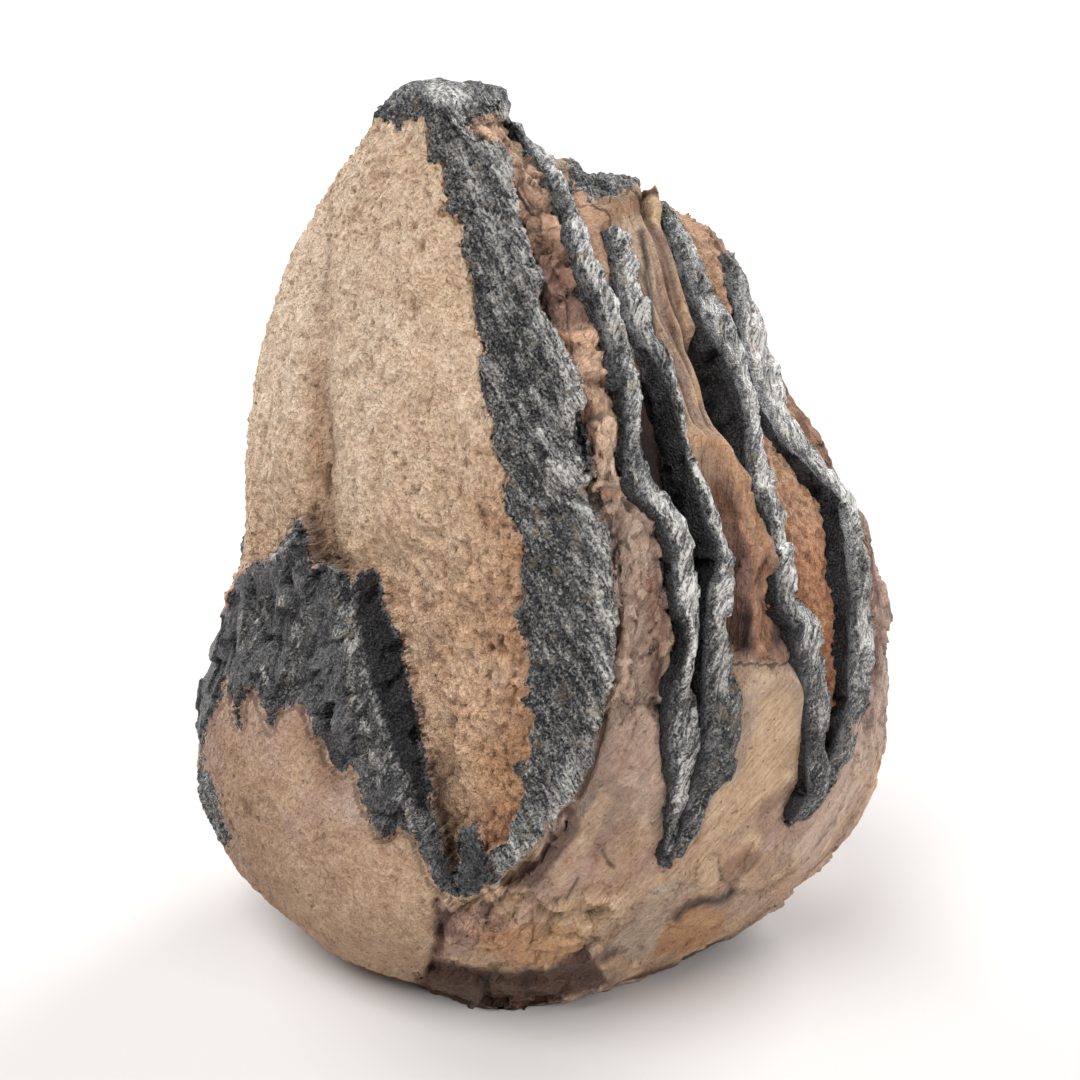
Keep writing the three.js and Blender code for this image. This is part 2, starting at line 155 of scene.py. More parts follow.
def body_points(place, angle):
    """Points of the smooth body in mm. Angle 0 is the right of a section and a quarter turn its front."""
    section = section_at(place)
    cosine, sine = np.cos(angle), np.sin(angle)
    to_right, to_front = cosine >= 0, sine >= 0
    squareness = np.where(
        to_front,
        np.where(to_right, FRONT_RIGHT, FRONT_LEFT),
        np.where(to_right, BACK_RIGHT, BACK_LEFT),
    )
    side = np.where(to_right[:, None], section[:, 5:7], section[:, 1:3])
    end = np.where(to_front[:, None], section[:, 3:5], section[:, 7:9])
    sideways = np.abs(cosine) ** (2 / squareness)
    endways = np.abs(sine) ** (2 / squareness)
    across = end[:, 0] + (side[:, 0] - end[:, 0]) * sideways
    near = side[:, 1] + (end[:, 1] - side[:, 1]) * endways
    points = across[:, None] * ACROSS + near[:, None] * NEAR
    points[:, 2] = section[:, 0]
    return points


print("furthest right at half height:", body_points(np.array([9.0]), np.array([0.0]))[0].round(1))

# %% Lay the body's grid
GRID_ANGLES = np.concatenate(
    [np.linspace(0, math.pi, 150, endpoint=False), np.linspace(math.pi, 2 * math.pi, 92, endpoint=False)]
)
GRID_SPACING = 0.95  # mm between two rings

ring_places = [1.0]
for lower in range(1, len(SECTIONS) - 1):
    # The way up between two sections, taken along the side and not only in height.
    way = np.linalg.norm(SECTIONS[lower + 1] - SECTIONS[lower]) / 1.6
    rise = SECTIONS[lower + 1][0] - SECTIONS[lower][0]
    count = max(1, round(max(way, rise) / GRID_SPACING))
    ring_places += list(lower + np.arange(1, count + 1) / count)
ring_places = np.array([0.35, 0.7] + ring_places[:-1])

ring_count, column_count = len(ring_places), len(GRID_ANGLES)
grid = body_points(np.repeat(ring_places, column_count), np.tile(GRID_ANGLES, ring_count))
base_pole = body_points(np.array([0.0]), np.array([0.0]))
tip_pole = body_points(np.array([len(SECTIONS) - 1.0]), np.array([0.0]))
body_vertices = np.vstack([grid, base_pole, tip_pole])

body_faces = []
for ring in range(ring_count - 1):
    for column in range(column_count):
        beside = (column + 1) % column_count
        low, high = ring * column_count, (ring + 1) * column_count
        body_faces.append((low + beside, low + column, high + column, high + beside))
last = (ring_count - 1) * column_count
for column in range(column_count):
    beside = (column + 1) % column_count
    body_faces.append((column, beside, len(grid)))
    body_faces.append((last + beside, last + column, len(grid) + 1))
print(ring_count, "rings of", column_count, "points,", len(body_faces), "faces")

# %% The body's surface for lines of sight to meet
smooth_tree = BVHTree.FromPolygons([Vector(v) for v in body_vertices], body_faces)


def hit(origin, direction):
    """Where a ray first meets the smooth body and the outward direction there, or None."""
    place, outward, _, _ = smooth_tree.ray_cast(Vector(origin), Vector(direction))
    if place is None:
        return None
    outward = np.array(outward)
    return np.array(place), outward if outward @ np.array(direction) < 0 else -outward


corner_hit, corner_outward = hit(EYE, sight_line(560, 600))
print("the near corner is at", corner_hit.round(1), "and faces", corner_outward.round(2))

# %% [markdown]
# ## Noise to break the surface with
#
# Three kinds of unevenness are needed. Smooth noise makes lumps. Fractal noise adds finer lumps to it, as on
# sandy dentine. Broken noise parts space into cells, gives each its own tilted plane and so makes the flat
# facets and sharp edges of cement that has snapped. All three come from numbered lattice points, so the same
# numbers come out on every run.

# %% Noise functions
def lattice_value(cell, seed):
    """A fixed random value from 0 to 1 for each whole-number cell."""
    cell = cell.astype(np.int64)
    mixed = cell[:, 0] * 374761393 + cell[:, 1] * 668265263 + cell[:, 2] * 1440662683 + seed * 974711
    mixed = ((mixed ^ (mixed >> 13)) * 1274126177) & 0x7FFFFFFF
    mixed = ((mixed ^ (mixed >> 15)) * 1103515245) & 0x7FFFFFFF
    return ((mixed ^ (mixed >> 16)) & 0xFFFF) / 65535.0


def smooth_noise(points, size, seed=0):
    """Lumps of about that size in mm, from -1 to 1. Size may differ along each axis."""
    scaled = points / size
    cell = np.floor(scaled)
    share = scaled - cell
    share = share * share * (3 - 2 * share)
    total = np.zeros(len(points))
    for corner in itertools.product((0, 1), repeat=3):
        weight = np.prod(np.where(corner, share, 1 - share), axis=1)
        total += weight * lattice_value(cell + corner, seed)
    return 2 * total - 1


def fractal_noise(points, size, octaves=3, seed=0):
    """Smooth noise with finer and weaker layers added."""
    total = sum(
        smooth_noise(points, np.asarray(size) / 2**k, seed + 17 * k) / 2**k for k in range(octaves)
    )
    return total / (2 - 2.0 ** (1 - octaves))


def broken_noise(points, size, seed=0, tilt=0.7):
    """Tilted flat facets in random cells, about -1 to 1, and how near each point is to a crack (0 on it)."""
    scaled = points / size
    cell = np.floor(scaled)
    nearest = np.full(len(points), 9.0)
    second = np.full(len(points), 9.0)
    height = np.zeros(len(points))
    for step in itertools.product((-1, 0, 1), repeat=3):
        there = cell + step
        jitter = np.stack([lattice_value(there, seed + k) for k in (1, 2, 3)], axis=1)
        away = scaled - (there + 0.15 + 0.7 * jitter)
        distance = np.linalg.norm(away, axis=1)
        slope = np.stack([lattice_value(there, seed + k) - 0.5 for k in (4, 5, 6)], axis=1)
        level = lattice_value(there, seed + 7) - 0.5 + 2 * tilt * np.sum(away * slope, axis=1)
        closer = distance < nearest
        second = np.where(closer, nearest, np.minimum(second, distance))
        height = np.where(closer, level, height)
        nearest = np.where(closer, distance, nearest)
    return 2 * height, second - nearest


def smoothstep(value, low, high):
    """0 below the low value, 1 above the high one, and a soft step between them."""
    share = np.clip((value - low) / (high - low), 0, 1)
    return share * share * (3 - 2 * share)


test_points = body_vertices[:2000]
test_noise = smooth_noise(test_points, 3.0)
print("noise range:", test_noise.min().round(2), test_noise.max().round(2))

# %% [markdown]
# ## Lines and outlines on the drawing
#
# Everything that can be seen on the near side is traced once, as a line or a closed outline, and then used
# for shape and colour alike. The distance to such an outline, positive inside, is the most useful number in
# this kind of modelling: a step up is a smooth step of it, and a colour edge is where it crosses zero.

# %% Distance to strokes and outlines
def traced(line):
    """The points of a line. It may be written as text: "across,down across,down"."""
    if isinstance(line, str):
        return [tuple(int(number) for number in point.split(",")) for point in line.split()]
    return line


def stroke_distance(x, y, line):
    """Distance in drawing units from points to a line of two or more points."""
    line = traced(line)
    nearest = np.full(len(x), 1e9)
    for (x0, y0), (x1, y1) in zip(line[:-1], line[1:]):
        length_squared = max((x1 - x0) ** 2 + (y1 - y0) ** 2, 1e-9)
        share = np.clip(((x - x0) * (x1 - x0) + (y - y0) * (y1 - y0)) / length_squared, 0, 1)
        nearest = np.minimum(nearest, np.hypot(x - x0 - share * (x1 - x0), y - y0 - share * (y1 - y0)))
    return nearest


def outline_distance(x, y, outline):
    """Signed distance in drawing units to a closed outline, positive inside."""
    outline = traced(outline)
    inside = np.zeros(len(x), bool)
    closed = outline + outline[:1]
    for (x0, y0), (x1, y1) in zip(closed[:-1], closed[1:]):
        if y0 != y1:
            crosses = (y0 > y) != (y1 > y)
            inside ^= crosses & (x < (x1 - x0) * (y - y0) / (y1 - y0) + x0)
    distance = stroke_distance(x, y, closed)
    return np.where(inside, distance, -distance)


def near_line(x, y, line, fade):
    """1 on a line, going down to 0 over about that many drawing units to both sides."""
    away = stroke_distance(x, y, line) / fade
    return np.exp(-away * away)


UNITS_PER_MM = 9.3  # drawing units to the mm at the near corner
print("a fade of 10 drawing units is", round(10 / UNITS_PER_MM, 1), "mm")

# %% Outlines of the end face
# The broken rim of the end wall, from the crown's cap down to the point of the bare face.
END_WALL_LEFT = traced(
    """
    425,117 428,136 430,159 443,165 444,188 451,199 436,216 453,214 463,225 464,251 470,268 474,294
    477,317 477,337 486,346 479,360 480,380 487,409 494,423 492,440 494,450 506,473 503,493 509,513
    520,536 526,550 520,576 523,599 514,613 520,634 529,662 529,688 523,700 535,717 529,737 535,757
    511,766 524,784 523,803 514,820 506,843 491,846 486,858
    """
)
END_WALL_RIGHT = traced(
    """
    458,93 463,116 477,133 497,142 506,165 514,193 526,222 532,245 536,268 540,300 552,325 566,351 578,374
    585,409 592,452 593,475 583,489 598,510 609,527 613,556 615,582 618,611 615,634 613,674 606,697
    600,720 595,748 586,774 577,794 566,812 543,835 517,860 500,880
    """
)
CROWN_CAP = traced(
    """
    377,116 370,92 385,60 470,55 520,70 512,108 498,117 478,116 470,124 463,122 440,150 430,140 425,117
    408,121 398,128 392,122
    """
)
END_WALL = END_WALL_LEFT + END_WALL_RIGHT[::-1]
# The ragged patch of the lost plate's other wall, low on the bare face.
PATCH_UPPER = traced(
    """
    150,690 185,640 207,632 227,605 239,573 258,561 272,555 285,539 296,519 303,519 308,540 308,556
    314,566 334,563 345,571 351,582 357,573 371,569 377,571 385,608 403,645 408,677 417,708 423,751
    433,792 431,809 440,832 447,862 462,893
    """
)
PATCH_LOWER = traced(
    """
    454,898 434,883 423,860 414,835 397,826 388,837 380,837 371,817 362,800 357,774 351,763 342,774
    328,760 325,743 314,734 305,705 291,703 275,714 270,731 262,708 256,688 247,690 242,705 240,729
    236,722 231,690 226,674 222,700 215,708 204,730 190,745 150,790
    """
)
PATCH = PATCH_UPPER + PATCH_LOWER
# The striated black splinter at the foot of the bare face.
SPLINTER = traced("461,826 480,826 484,852 500,880 466,898 454,890 458,858")
# The third wall's knobs where it crosses the crown.
KNOBS = traced("560,150 600,150 640,165 636,196 607,203 596,196 584,196 566,184")
# Enamel that shows low on the left edge.
LEFT_TRACE = traced("170,735 205,730 204,765 216,790 221,815 233,838 215,860 170,800")
print("end wall outline:", len(END_WALL), "points; patch outline:", len(PATCH), "points")

# %% [markdown]
# ## Finer faces where the detail is
#
# Relief needs faces smaller than itself. Every face is split once, and those of the near side, which carries
# the traced detail, once more.

# %% Split the grid for the detail
def facing_eye(points, outward):
    """How squarely the surface faces the drawing's eye, from -1 to 1."""
    line = EYE - points
    return np.sum(outward * line, axis=1) / np.linalg.norm(line, axis=1)


def mesh_arrays(source):
    """The points of a mesh and the directions in which they face."""
    arrays = []
    for kind in ("co", "normal"):
        values = np.empty(len(source.vertices) * 3)
        source.vertices.foreach_get(kind, values)
        arrays.append(values.reshape(-1, 3))
    return arrays


def split_where(source, chosen):
    """Halves the edges of a mesh whose two ends are both chosen."""
    shape = bmesh.new()
    shape.from_mesh(source)
    shape.verts.ensure_lookup_table()
    edges = [e for e in shape.edges if chosen[e.verts[0].index] and chosen[e.verts[1].index]]
    bmesh.ops.subdivide_edges(shape, edges=edges, cuts=1, use_grid_fill=True)
    shape.to_mesh(source)
    shape.free()


body_mesh = bpy.data.meshes.new("dentine and cement")
body_mesh.from_pydata([tuple(v) for v in body_vertices], [], body_faces)
body_mesh.update()

EVERY_SIDE, NEAR_SIDE = -2.0, 0.05
for least_facing in (EVERY_SIDE, NEAR_SIDE):
    points, outward = mesh_arrays(body_mesh)
    split_where(body_mesh, facing_eye(points, outward) > least_facing)
body_points_mm, body_outward = mesh_arrays(body_mesh)
body_triangles = sum(len(p.vertices) - 2 for p in body_mesh.polygons)
print(len(body_mesh.vertices), "points and", body_triangles, "triangles in the body")

# %% [markdown]
# ## The enamel walls as ribs
#
# Enamel is the hardest tissue of the tooth, so dentine and cement wear away and leave each wall standing. On
# the near flank a wall's rim is the strip between a left and a right line of the drawing. It then runs over
# the crown and down the far flank, where only its position along the stack is known. Each rib is swept: one
# section after another is stood on the body, and neighbouring sections are joined.

# %% Lines of the four walls on the flank
# "left" and "right" are the two edges of the rim's worn crest. Heights are in mm above the unworn flank.
# "pale" says how pale the crest is painted, for scratches and as highlight, and "side" where on the
# drawing its left side, bare and in painted shade, turns from slate to black, as (down, share) and as
# three places down.
WALLS = {
    "second wall": {
        "height": 0.5,
        "far_width": 4.2,
        "left": traced(
            """
            504,119 526,135 541,159 557,193 567,228 576,260 588,288 599,314 610,346 617,374 624,409
            626,437 624,455 622,470 626,485 644,500 660,520 670,545 672,565 675,590 678,610 686,625
            687,645 684,665 672,690 667,705 666,737 668,765 670,785 669,803 668,830 665,852 663,875
            """
        ),
        "right": traced(
            """
            507,119 529,132 546,142 557,162 569,185 583,216 595,248 606,277 620,305 629,331 636,360
            642,389 643,423 644,460 654,480 671,500 684,520 695,545 698,565 702,590 703,610 702,625
            699,645 697,668 692,690 697,703 700,723 699,765 695,785 689,806 681,832 676,852 669,875
            """
        ),
        "pale": [
            (119, 0.5), (300, 0.8), (470, 0.55), (500, 0.7), (560, 1.0), (620, 0.95), (670, 0.8), (700, 0.5),
            (800, 0.65), (875, 0.4),
        ],
    },
    "third wall": {
        "height": 0.4,
        "far_width": 3.4,
        "crown_dip": 5.0,
        "left": traced(
            """
            608,227 617,251 620,277 621,303 630,323 645,340 661,363 674,392 682,420 690,460 700,490
            709,520 719,540 720,560 716,575 709,590 708,620 706,650 704,690 702,730 698,765 690,800
            680,835 663,875
            """
        ),
        "right": traced(
            """
            628,227 638,240 643,262 645,290 650,308 660,335 673,357 683,383 688,412 696,455 714,490
            725,520 732,540 738,560 738,575 734,592 731,620 734,650 737,680 742,705 742,740 735,773
            712,799 700,829 672,877
            """
        ),
        "pale": [
            (227, 0.6), (340, 0.7), (480, 0.85), (570, 0.9), (640, 0.6), (690, 0.35), (730, 0.2), (875, 0.25),
        ],
    },
    "fourth wall": {
        "height": 0.5,
        "far_width": 4.4,
        "crown_dip": 2.2,
        "side": [230, 280, 330],
        "left": traced(
            """
            659,205 669,228 682,257 692,285 700,310 709,335 722,352 734,375 741,398 748,420 750,440
            749,460 752,490 763,505 773,520 777,560 780,600 790,622 797,650 803,680 807,700 809,730
            808,760 807,790 800,812 793,834
            """
        ),
        "right": traced(
            """
            662,205 678,214 692,237 705,260 716,290 729,314 741,335 747,351 754,374 760,398 765,420
            768,450 779,490 784,505 789,520 796,560 801,600 819,622 825,650 830,680 834,700 832,730
            828,760 829,790 815,806 801,834
            """
        ),
        "pale": [
            (205, 0.2), (260, 0.45), (330, 0.4), (380, 0.9), (480, 0.9), (600, 0.85), (680, 0.5), (760, 0.45),
            (834, 0.15),
        ],
    },
    "fifth wall": {
        "height": 0.4,
        "far_width": 4.0,
        "crown_dip": 5.0,
        "left": traced(
            """
            727,257 733,280 737,300 743,335 748,360 757,385 766,409 773,421 787,440 803,457 815,470
            837,496 844,521 848,557 853,590 852,625 849,660 849,700 840,735 830,765 822,790 804,830
            """
        ),
        "right": traced(
            """
            733,257 747,274 757,300 768,332 777,360 787,385 793,402 802,425 812,440 824,457 834,470
            856,496 862,521 869,557 874,600 877,640 871,680 869,712 859,748 838,783 829,797 810,832
            """
        ),
        "pale": [
            (257, 0.3), (320, 0.9), (420, 1.0), (500, 0.85), (560, 0.4), (610, 0.8), (700, 0.45), (830, 0.2),
        ],
    },
}
RIB_ROOT = 8.5  # mm that a rib goes down from its crest into the tooth
ROW_STEP = 2.4  # drawing units between two sections on the near flank
FAR_STEP = 0.8  # mm between two sections over the crown and down the far flank
FAR_END = 16.5  # mm along the stack up to which the far flank is still a side of the tooth
print("walls:", ", ".join(WALLS))

# %% Where each wall's rim runs in space
def rim_point(across, down, height):
    """The point that is that much above the body and lies on the sight line of a drawing point."""
    sight = sight_line(across, down)
    found = hit(EYE, sight)
    if found is None:
        # Just past the body's edge the rim keeps the distance of the nearest place that is still on the body.
        for inward in (3, 6, 9, 12):
            found = hit(EYE, sight_line(across - inward, down))
            if found is not None:
                return EYE + sight * np.linalg.norm(found[0] - EYE)
        return None
    place, out = found
    return place - sight * height / max(-sight @ out, 0.3)


def near_rows(wall):
    """Sections of the rim on the near flank, from the crown down: middle, half width, place down."""
    edges = [np.array(wall[side], float) for side in ("left", "right")]
    top = max(edge[0, 1] for edge in edges)
    bottom = min(edge[-1, 1] for edge in edges)
    rows = []
    for down in np.arange(top, bottom, ROW_STEP):
        ends = [rim_point(np.interp(down, edge[:, 1], edge[:, 0]), down, wall["height"]) for edge in edges]
        if any(end is None for end in ends):
            continue
        rows.append(((ends[0] + ends[1]) / 2, (ends[1] - ends[0]) / 2, down))
    return rows


def far_rows(middles, far_width, seed):
    """The rim's sections over the crown and down the far flank, above the same places along the stack."""
    top = middles[0]
    heights = np.arange(top[2], middles[-1][2], -FAR_STEP)
    order = np.argsort([m[2] for m in middles])
    along_x = np.array([m[0] for m in middles])[order]
    along_z = np.array([m[2] for m in middles])[order]
    flank = []
    for height in heights:
        stack = min(np.interp(height, along_z, along_x), FAR_END)
        wobble = 0.7 * smooth_noise(np.array([[seed * 9.0, 0.0, height]]), 9.0, seed)[0]
        found = hit([stack + wobble, 200.0, height], [0.0, -1.0, 0.0])
        if found:
            flank.append(found[0])
    hub = (top + flank[0]) / 2
    hub[2] = min(top[2], flank[0][2]) - 12
    start, end = (math.atan2(p[2] - hub[2], p[1] - hub[1]) for p in (top, flank[0]))
    steps = max(3, round(abs(start - end) * np.linalg.norm(top - hub) / FAR_STEP))
    crown = []
    for step in range(1, steps):
        angle = start + (end - start) * step / steps
        out = np.array([0.0, math.cos(angle), math.sin(angle)])
        stack = top[0] + (flank[0][0] - top[0]) * step / steps
        found = hit(np.array([stack, hub[1], hub[2]]) + 200 * out, -out)
        if found:
            crown.append(found[0])
    return [(p, np.array([far_width / 2, 0.0, 0.0]), None) for p in crown + flank]


rims = {}
for number, (name, wall) in enumerate(WALLS.items()):
    near = near_rows(wall)
    far = far_rows([row[0] for row in near], wall["far_width"], number)
    rims[name] = near[::-1] + far
    stack = [row[0][0] for row in near]
    print(f"{name}: {len(near)} near and {len(far)} far sections, x {min(stack):.1f} to {max(stack):.1f} mm")

# The end wall shows as a broad broken face near the corner, and as a rib only beyond the crown.
end_middles = []
for down in np.arange(118, 866, 6.0):
    left = np.interp(down, *zip(*[(p[1], p[0]) for p in END_WALL_LEFT]))
    right = np.interp(down, *zip(*[(p[1], p[0]) for p in END_WALL_RIGHT]))
    found = hit(EYE, sight_line((left + right) / 2, down))
    end_middles.append(found[0])
END_WALL_BEHIND = 3.6  # mm that the far part lies further along the stack, out of the corner view's sight
rims["end wall"] = far_rows([middle + [END_WALL_BEHIND, 0, 0] for middle in end_middles], 4.4, 7)
print("end wall:", len(rims["end wall"]), "sections beyond the near corner")

# %% [markdown]
# ## Sweeping a rib
#
# The section is a plate on edge: a deep root inside the tooth, two steep sides and a worn crest. Where the
# tissue beside it has gone, its side stays bare and is painted dark, partly as shade, while the crest is
# painted pale, partly for scratches and partly as highlight. The crest is never even, so its height swells
# and dips along the wall, and its surface is fluted.

# %% A rib's section and its rings
def rib_vertices(rows, wall, seed):
    """Rings of points, one ring for each section, from the left root over the crest to the right root."""
    middles = np.array([row[0] for row in rows])
    halves = np.array([row[1] for row in rows])
    # Neighbouring sections are evened out, so that the drawing's corners don't show as folds.
    kernel = np.array([1, 2, 2, 2, 1]) / 8.0
    for series in (middles, halves):
        for axis in range(3):
            series[:, axis] = np.convolve(np.pad(series[:, axis], 2, mode="edge"), kernel, mode="valid")
    tangents = np.gradient(middles, axis=0)
    tangents /= np.linalg.norm(tangents, axis=1)[:, None]
    lengths = np.concatenate([[0], np.cumsum(np.linalg.norm(np.diff(middles, axis=0), axis=1))])
    sideways = halves - np.sum(halves * tangents, axis=1)[:, None] * tangents
    half_width = np.maximum(np.linalg.norm(sideways, axis=1), 0.35)
    sideways /= np.linalg.norm(sideways, axis=1)[:, None]
    out = np.cross(tangents, sideways)
    inside = np.array([0.0, 0.0, 25.0]) + np.array([1.0, 0, 0]) * middles[:, :1]
    out *= np.sign(np.sum(out * (middles - inside), axis=1))[:, None]

    end_share = np.minimum(lengths, lengths[-1] - lengths)
    fade = smoothstep(end_share, -0.5, 2.5)
    line = np.stack([lengths, 0 * lengths, 0 * lengths], axis=1)
    far = np.array([row[2] is None for row in rows])
    far_share = np.convolve(np.pad(far.astype(float), 6, mode="edge"), np.ones(13) / 13, mode="valid")
    top = (0.22 + 0.3 * far_share) * smooth_noise(line, 5.0, seed + 40) + 0.5 * far_share - 1.0 * (1 - fade)
    # Beyond the crown a wall may dip before it comes out again on the far flank.
    beyond = lengths - lengths[np.argmax(far)] if far.any() else lengths
    dip_end = wall.get("dip_end", 15)
    dip_start = wall.get("dip_start", -0.5)
    dip = smoothstep(beyond, dip_start, dip_start + 2) * (1 - smoothstep(beyond, dip_end - 3, dip_end + 3))
    top -= wall.get("crown_dip", 0) * dip
    place_pale, value_pale = zip(*wall["pale"]) if "pale" in wall else ((0, 1), (0.4, 0.4))
    crest_pale = np.array([np.interp(row[2], place_pale, value_pale) if row[2] else 0.45 for row in rows])
    crest_pale = crest_pale + 0.25 * smooth_noise(line, 3.0, seed + 41)

    side = np.concatenate([[-RIB_ROOT, -6.8], np.linspace(-5.6, -0.32, 11)])
    right_side = np.array([-0.35, -1.0, -2.0, -3.5, -6.0, -RIB_ROOT])
    across = np.linspace(-1, 1, 13)
    section_u, section_v = [], []
    for row in range(len(rows)):
        w = half_width[row]
        crest_v = top[row] - 0.42 * np.abs(across) ** 2.6 - 0.15 * smoothstep(-across, -0.2, 1.0)
        left_u, right_u = np.full(len(side), -w - 0.05), np.full(len(right_side), w + 0.05)
        u = np.concatenate([left_u, across[1:-1] * w, right_u])
        v = np.concatenate([side + top[row], crest_v[1:-1], top[row] + right_side])
        section_u.append(u)
        section_v.append(v)
    u, v = np.array(section_u), np.array(section_v)
    points = middles[:, None, :] + u[:, :, None] * sideways[:, None, :] + v[:, :, None] * out[:, None, :]
    count = u.shape[1]
    flat = points.reshape(-1, 3)
    u, v = u.reshape(-1), v.reshape(-1)
    over = v - np.repeat(top, count)
    on_side = smoothstep(-over, 0.1, 0.7)
    push = np.repeat(out, count, axis=0) * (1 - on_side)[:, None]
    push = push + np.repeat(sideways, count, axis=0) * (np.sign(u) * on_side)[:, None]
    # Flutes run along the wall, small lumps go every way.
    frame_points = np.stack([np.repeat(lengths, count), u, v], axis=1)
    flutes = fractal_noise(frame_points, np.array([5.0, 0.75, 0.9]), 2, seed + 42)
    lumps = fractal_noise(flat, 1.6, 3, seed + 43)
    chips, _ = broken_noise(flat, np.array([1.6, 1.6, 2.6]), seed + 44)
    rough = 0.3 * flutes + 0.36 * lumps + 0.3 * chips + 0.3 * on_side * fractal_noise(flat, 3.0, 2, seed + 45)
    rough = rough * (1 - 0.35 * np.repeat(far_share, count))
    free = smoothstep(over, -6.5, -5.0)
    flat = flat + push * (rough * free)[:, None]
    # The crest is painted pale, partly for scratches and partly as highlight. The bare sides are painted slate
    # to black, partly as shade.
    lit = smoothstep(u / np.repeat(half_width, count), -1.05, -0.2) * smoothstep(over, -0.8, -0.2)
    side_down = wall.get("side", [230, 340, 420])
    side_dark = [np.interp(row[2], side_down, [0.25, 0.6, 0.95]) if row[2] else 0.45 for row in rows]
    side_dark = np.array(side_dark)
    pale = lit * (np.repeat(crest_pale, count) - 0.14) - (1 - lit) * np.repeat(side_dark, count)
    # The fibres cross the crest at a slant.
    run = np.repeat(lengths, count)
    grain = np.stack([0.86 * u - 0.5 * run, v, 0.5 * u + 0.86 * run], axis=1)
    return flat, count, pale, grain


print("a rib goes", RIB_ROOT, "mm into the tooth")

# %% Build the ribs
def rib_object(name, rows, wall, seed):
    """A rib as a mesh, with its grain and with how pale its crest is."""
    vertices, count, pale, grain = rib_vertices(rows, wall, seed)
    vertices[:, 2] = np.maximum(vertices[:, 2], 0.5)
    ring_total = len(vertices) // count
    faces = []
    for ring in range(ring_total - 1):
        for k in range(count):
            beside = (k + 1) % count
            low, high = ring * count, (ring + 1) * count
            faces.append((low + k, low + beside, high + beside, high + k))
    faces.append(tuple(range(count))[::-1])
    faces.append(tuple((ring_total - 1) * count + k for k in range(count)))
    mesh = bpy.data.meshes.new(name)
    mesh.from_pydata([tuple(v * MM) for v in vertices], [], faces)
    shape = bmesh.new()
    shape.from_mesh(mesh)
    bmesh.ops.recalc_face_normals(shape, faces=shape.faces)
    shape.to_mesh(mesh)
    shape.free()
    mesh.polygons.foreach_set("use_smooth", [True] * len(mesh.polygons))
    mesh.attributes.new("Pale", "FLOAT", "POINT").data.foreach_set("value", pale.astype(np.float32))
    kept = mesh.attributes.new("Grain", "FLOAT_VECTOR", "POINT")
    kept.data.foreach_set("vector", (grain * MM).astype(np.float32).reshape(-1))
    rib = bpy.data.objects.new(name.replace(" ", "_") + "_enamel", mesh)
    scene.collection.objects.link(rib)
    print(f"{name}: {len(faces) * 2} triangles from {ring_total} sections")
    return rib


ribs = []
for number, (name, rows) in enumerate(rims.items()):
    wall = WALLS.get(name, {"height": 0.8, "crown_dip": 3.5, "dip_start": -3, "dip_end": 30})
    ribs.append(rib_object(name, rows, wall, 10 * number))

# %% [markdown]
# ## Which tissue is where
#
# Enamel, bare dentine, root and cement each break in their own way, so every point of the body is first told
# what it is. On the near side the traced outlines say it. Elsewhere it follows from the stack: each wall has
# its own place along X, so counting the walls to one side of a point says which layer lies there.

# %% Layers and outlines of the tissues
def along_stack(middles, height):
    """Where a wall lies along X, at given heights."""
    middles = np.array(middles)
    order = np.argsort(middles[:, 2])
    return np.interp(height, middles[order, 2], middles[order, 0])


def wall_places(height):
    """Places along X of the end wall and the four others, and of the far edge of the cement."""
    places = [along_stack(end_middles, height)]
    for name in WALLS:
        places.append(along_stack([row[0] for row in rims[name] if row[2] is not None], height) + 0.3)
    return places + [places[-1] + 11]


BARE_FACE = (
    traced("425,117 392,122 377,116 340,110 240,230 190,420 180,560 180,636")
    + PATCH_UPPER[2:]
    + traced("458,858 461,826 480,826 486,858")
    + END_WALL_LEFT[::-1]
)
ROOT_LUMP = PATCH_LOWER[::-1] + traced("441,905 437,935 428,966 408,988 350,982 200,900")
CREAM_FACET = traced(
    """
    676,893 690,868 712,799 742,773 760,700 790,690 806,757 800,800 771,831 753,852 716,886
    """
)
BROWN_LUMP = traced("652,953 664,925 676,912 700,905 722,912 724,930 711,942 680,955")
NOTCH = traced("676,916 686,906 700,901 716,901 728,897 734,891")
STUB = traced("404,990 431,957 462,964 490,971 515,971 546,969 588,950 612,984 508,1016 425,1005")
# The face along which the patch's enamel has broken off: its upper and lower edge.
STRIP_LEFT = traced(
    """
    353,579 353,615 360,648 369,684 379,717 392,755 407,781 417,814 427,829 440,862 456,896
    """
)
STRIP_RIGHT = [(371, 567)] + PATCH_UPPER[17:]
STRIP = STRIP_LEFT + STRIP_RIGHT[::-1]

print("outline of the bare face:", len(BARE_FACE), "points")

# %% Masks of the tissues
def enamel_distance(points, x, y, seen):
    """Distance in mm to the edge of the end wall's enamel, positive on the enamel."""
    on_near = outline_distance(x, y, END_WALL)
    for outline in (CROWN_CAP, PATCH, SPLINTER, LEFT_TRACE, KNOBS):
        on_near = np.maximum(on_near, outline_distance(x, y, outline))
    turn = smoothstep(points[:, 1], -8, 26)
    ragged = 2.6 * fractal_noise(points, 7.0, 4, 61) + 0.9 * broken_noise(points, 3.2, 62, 1.0)[0]
    # Round the far corner the enamel is a tongue that thins out towards its end.
    along = np.clip(points[:, 0] + 26, 0, 16)
    lower_edge, upper_edge = 13 + 12 * turn + 0.3 * along, 38 + 10 * turn - 0.6 * along
    wrap = np.minimum(points[:, 2] - lower_edge, upper_edge - points[:, 2])
    wrap = np.minimum(wrap, along_stack(end_middles, points[:, 2]) + 1 - points[:, 0]) + ragged
    cap = points[:, 2] - 89.5 + ragged
    return seen * on_near / UNITS_PER_MM + (1 - seen) * np.maximum(wrap, cap)


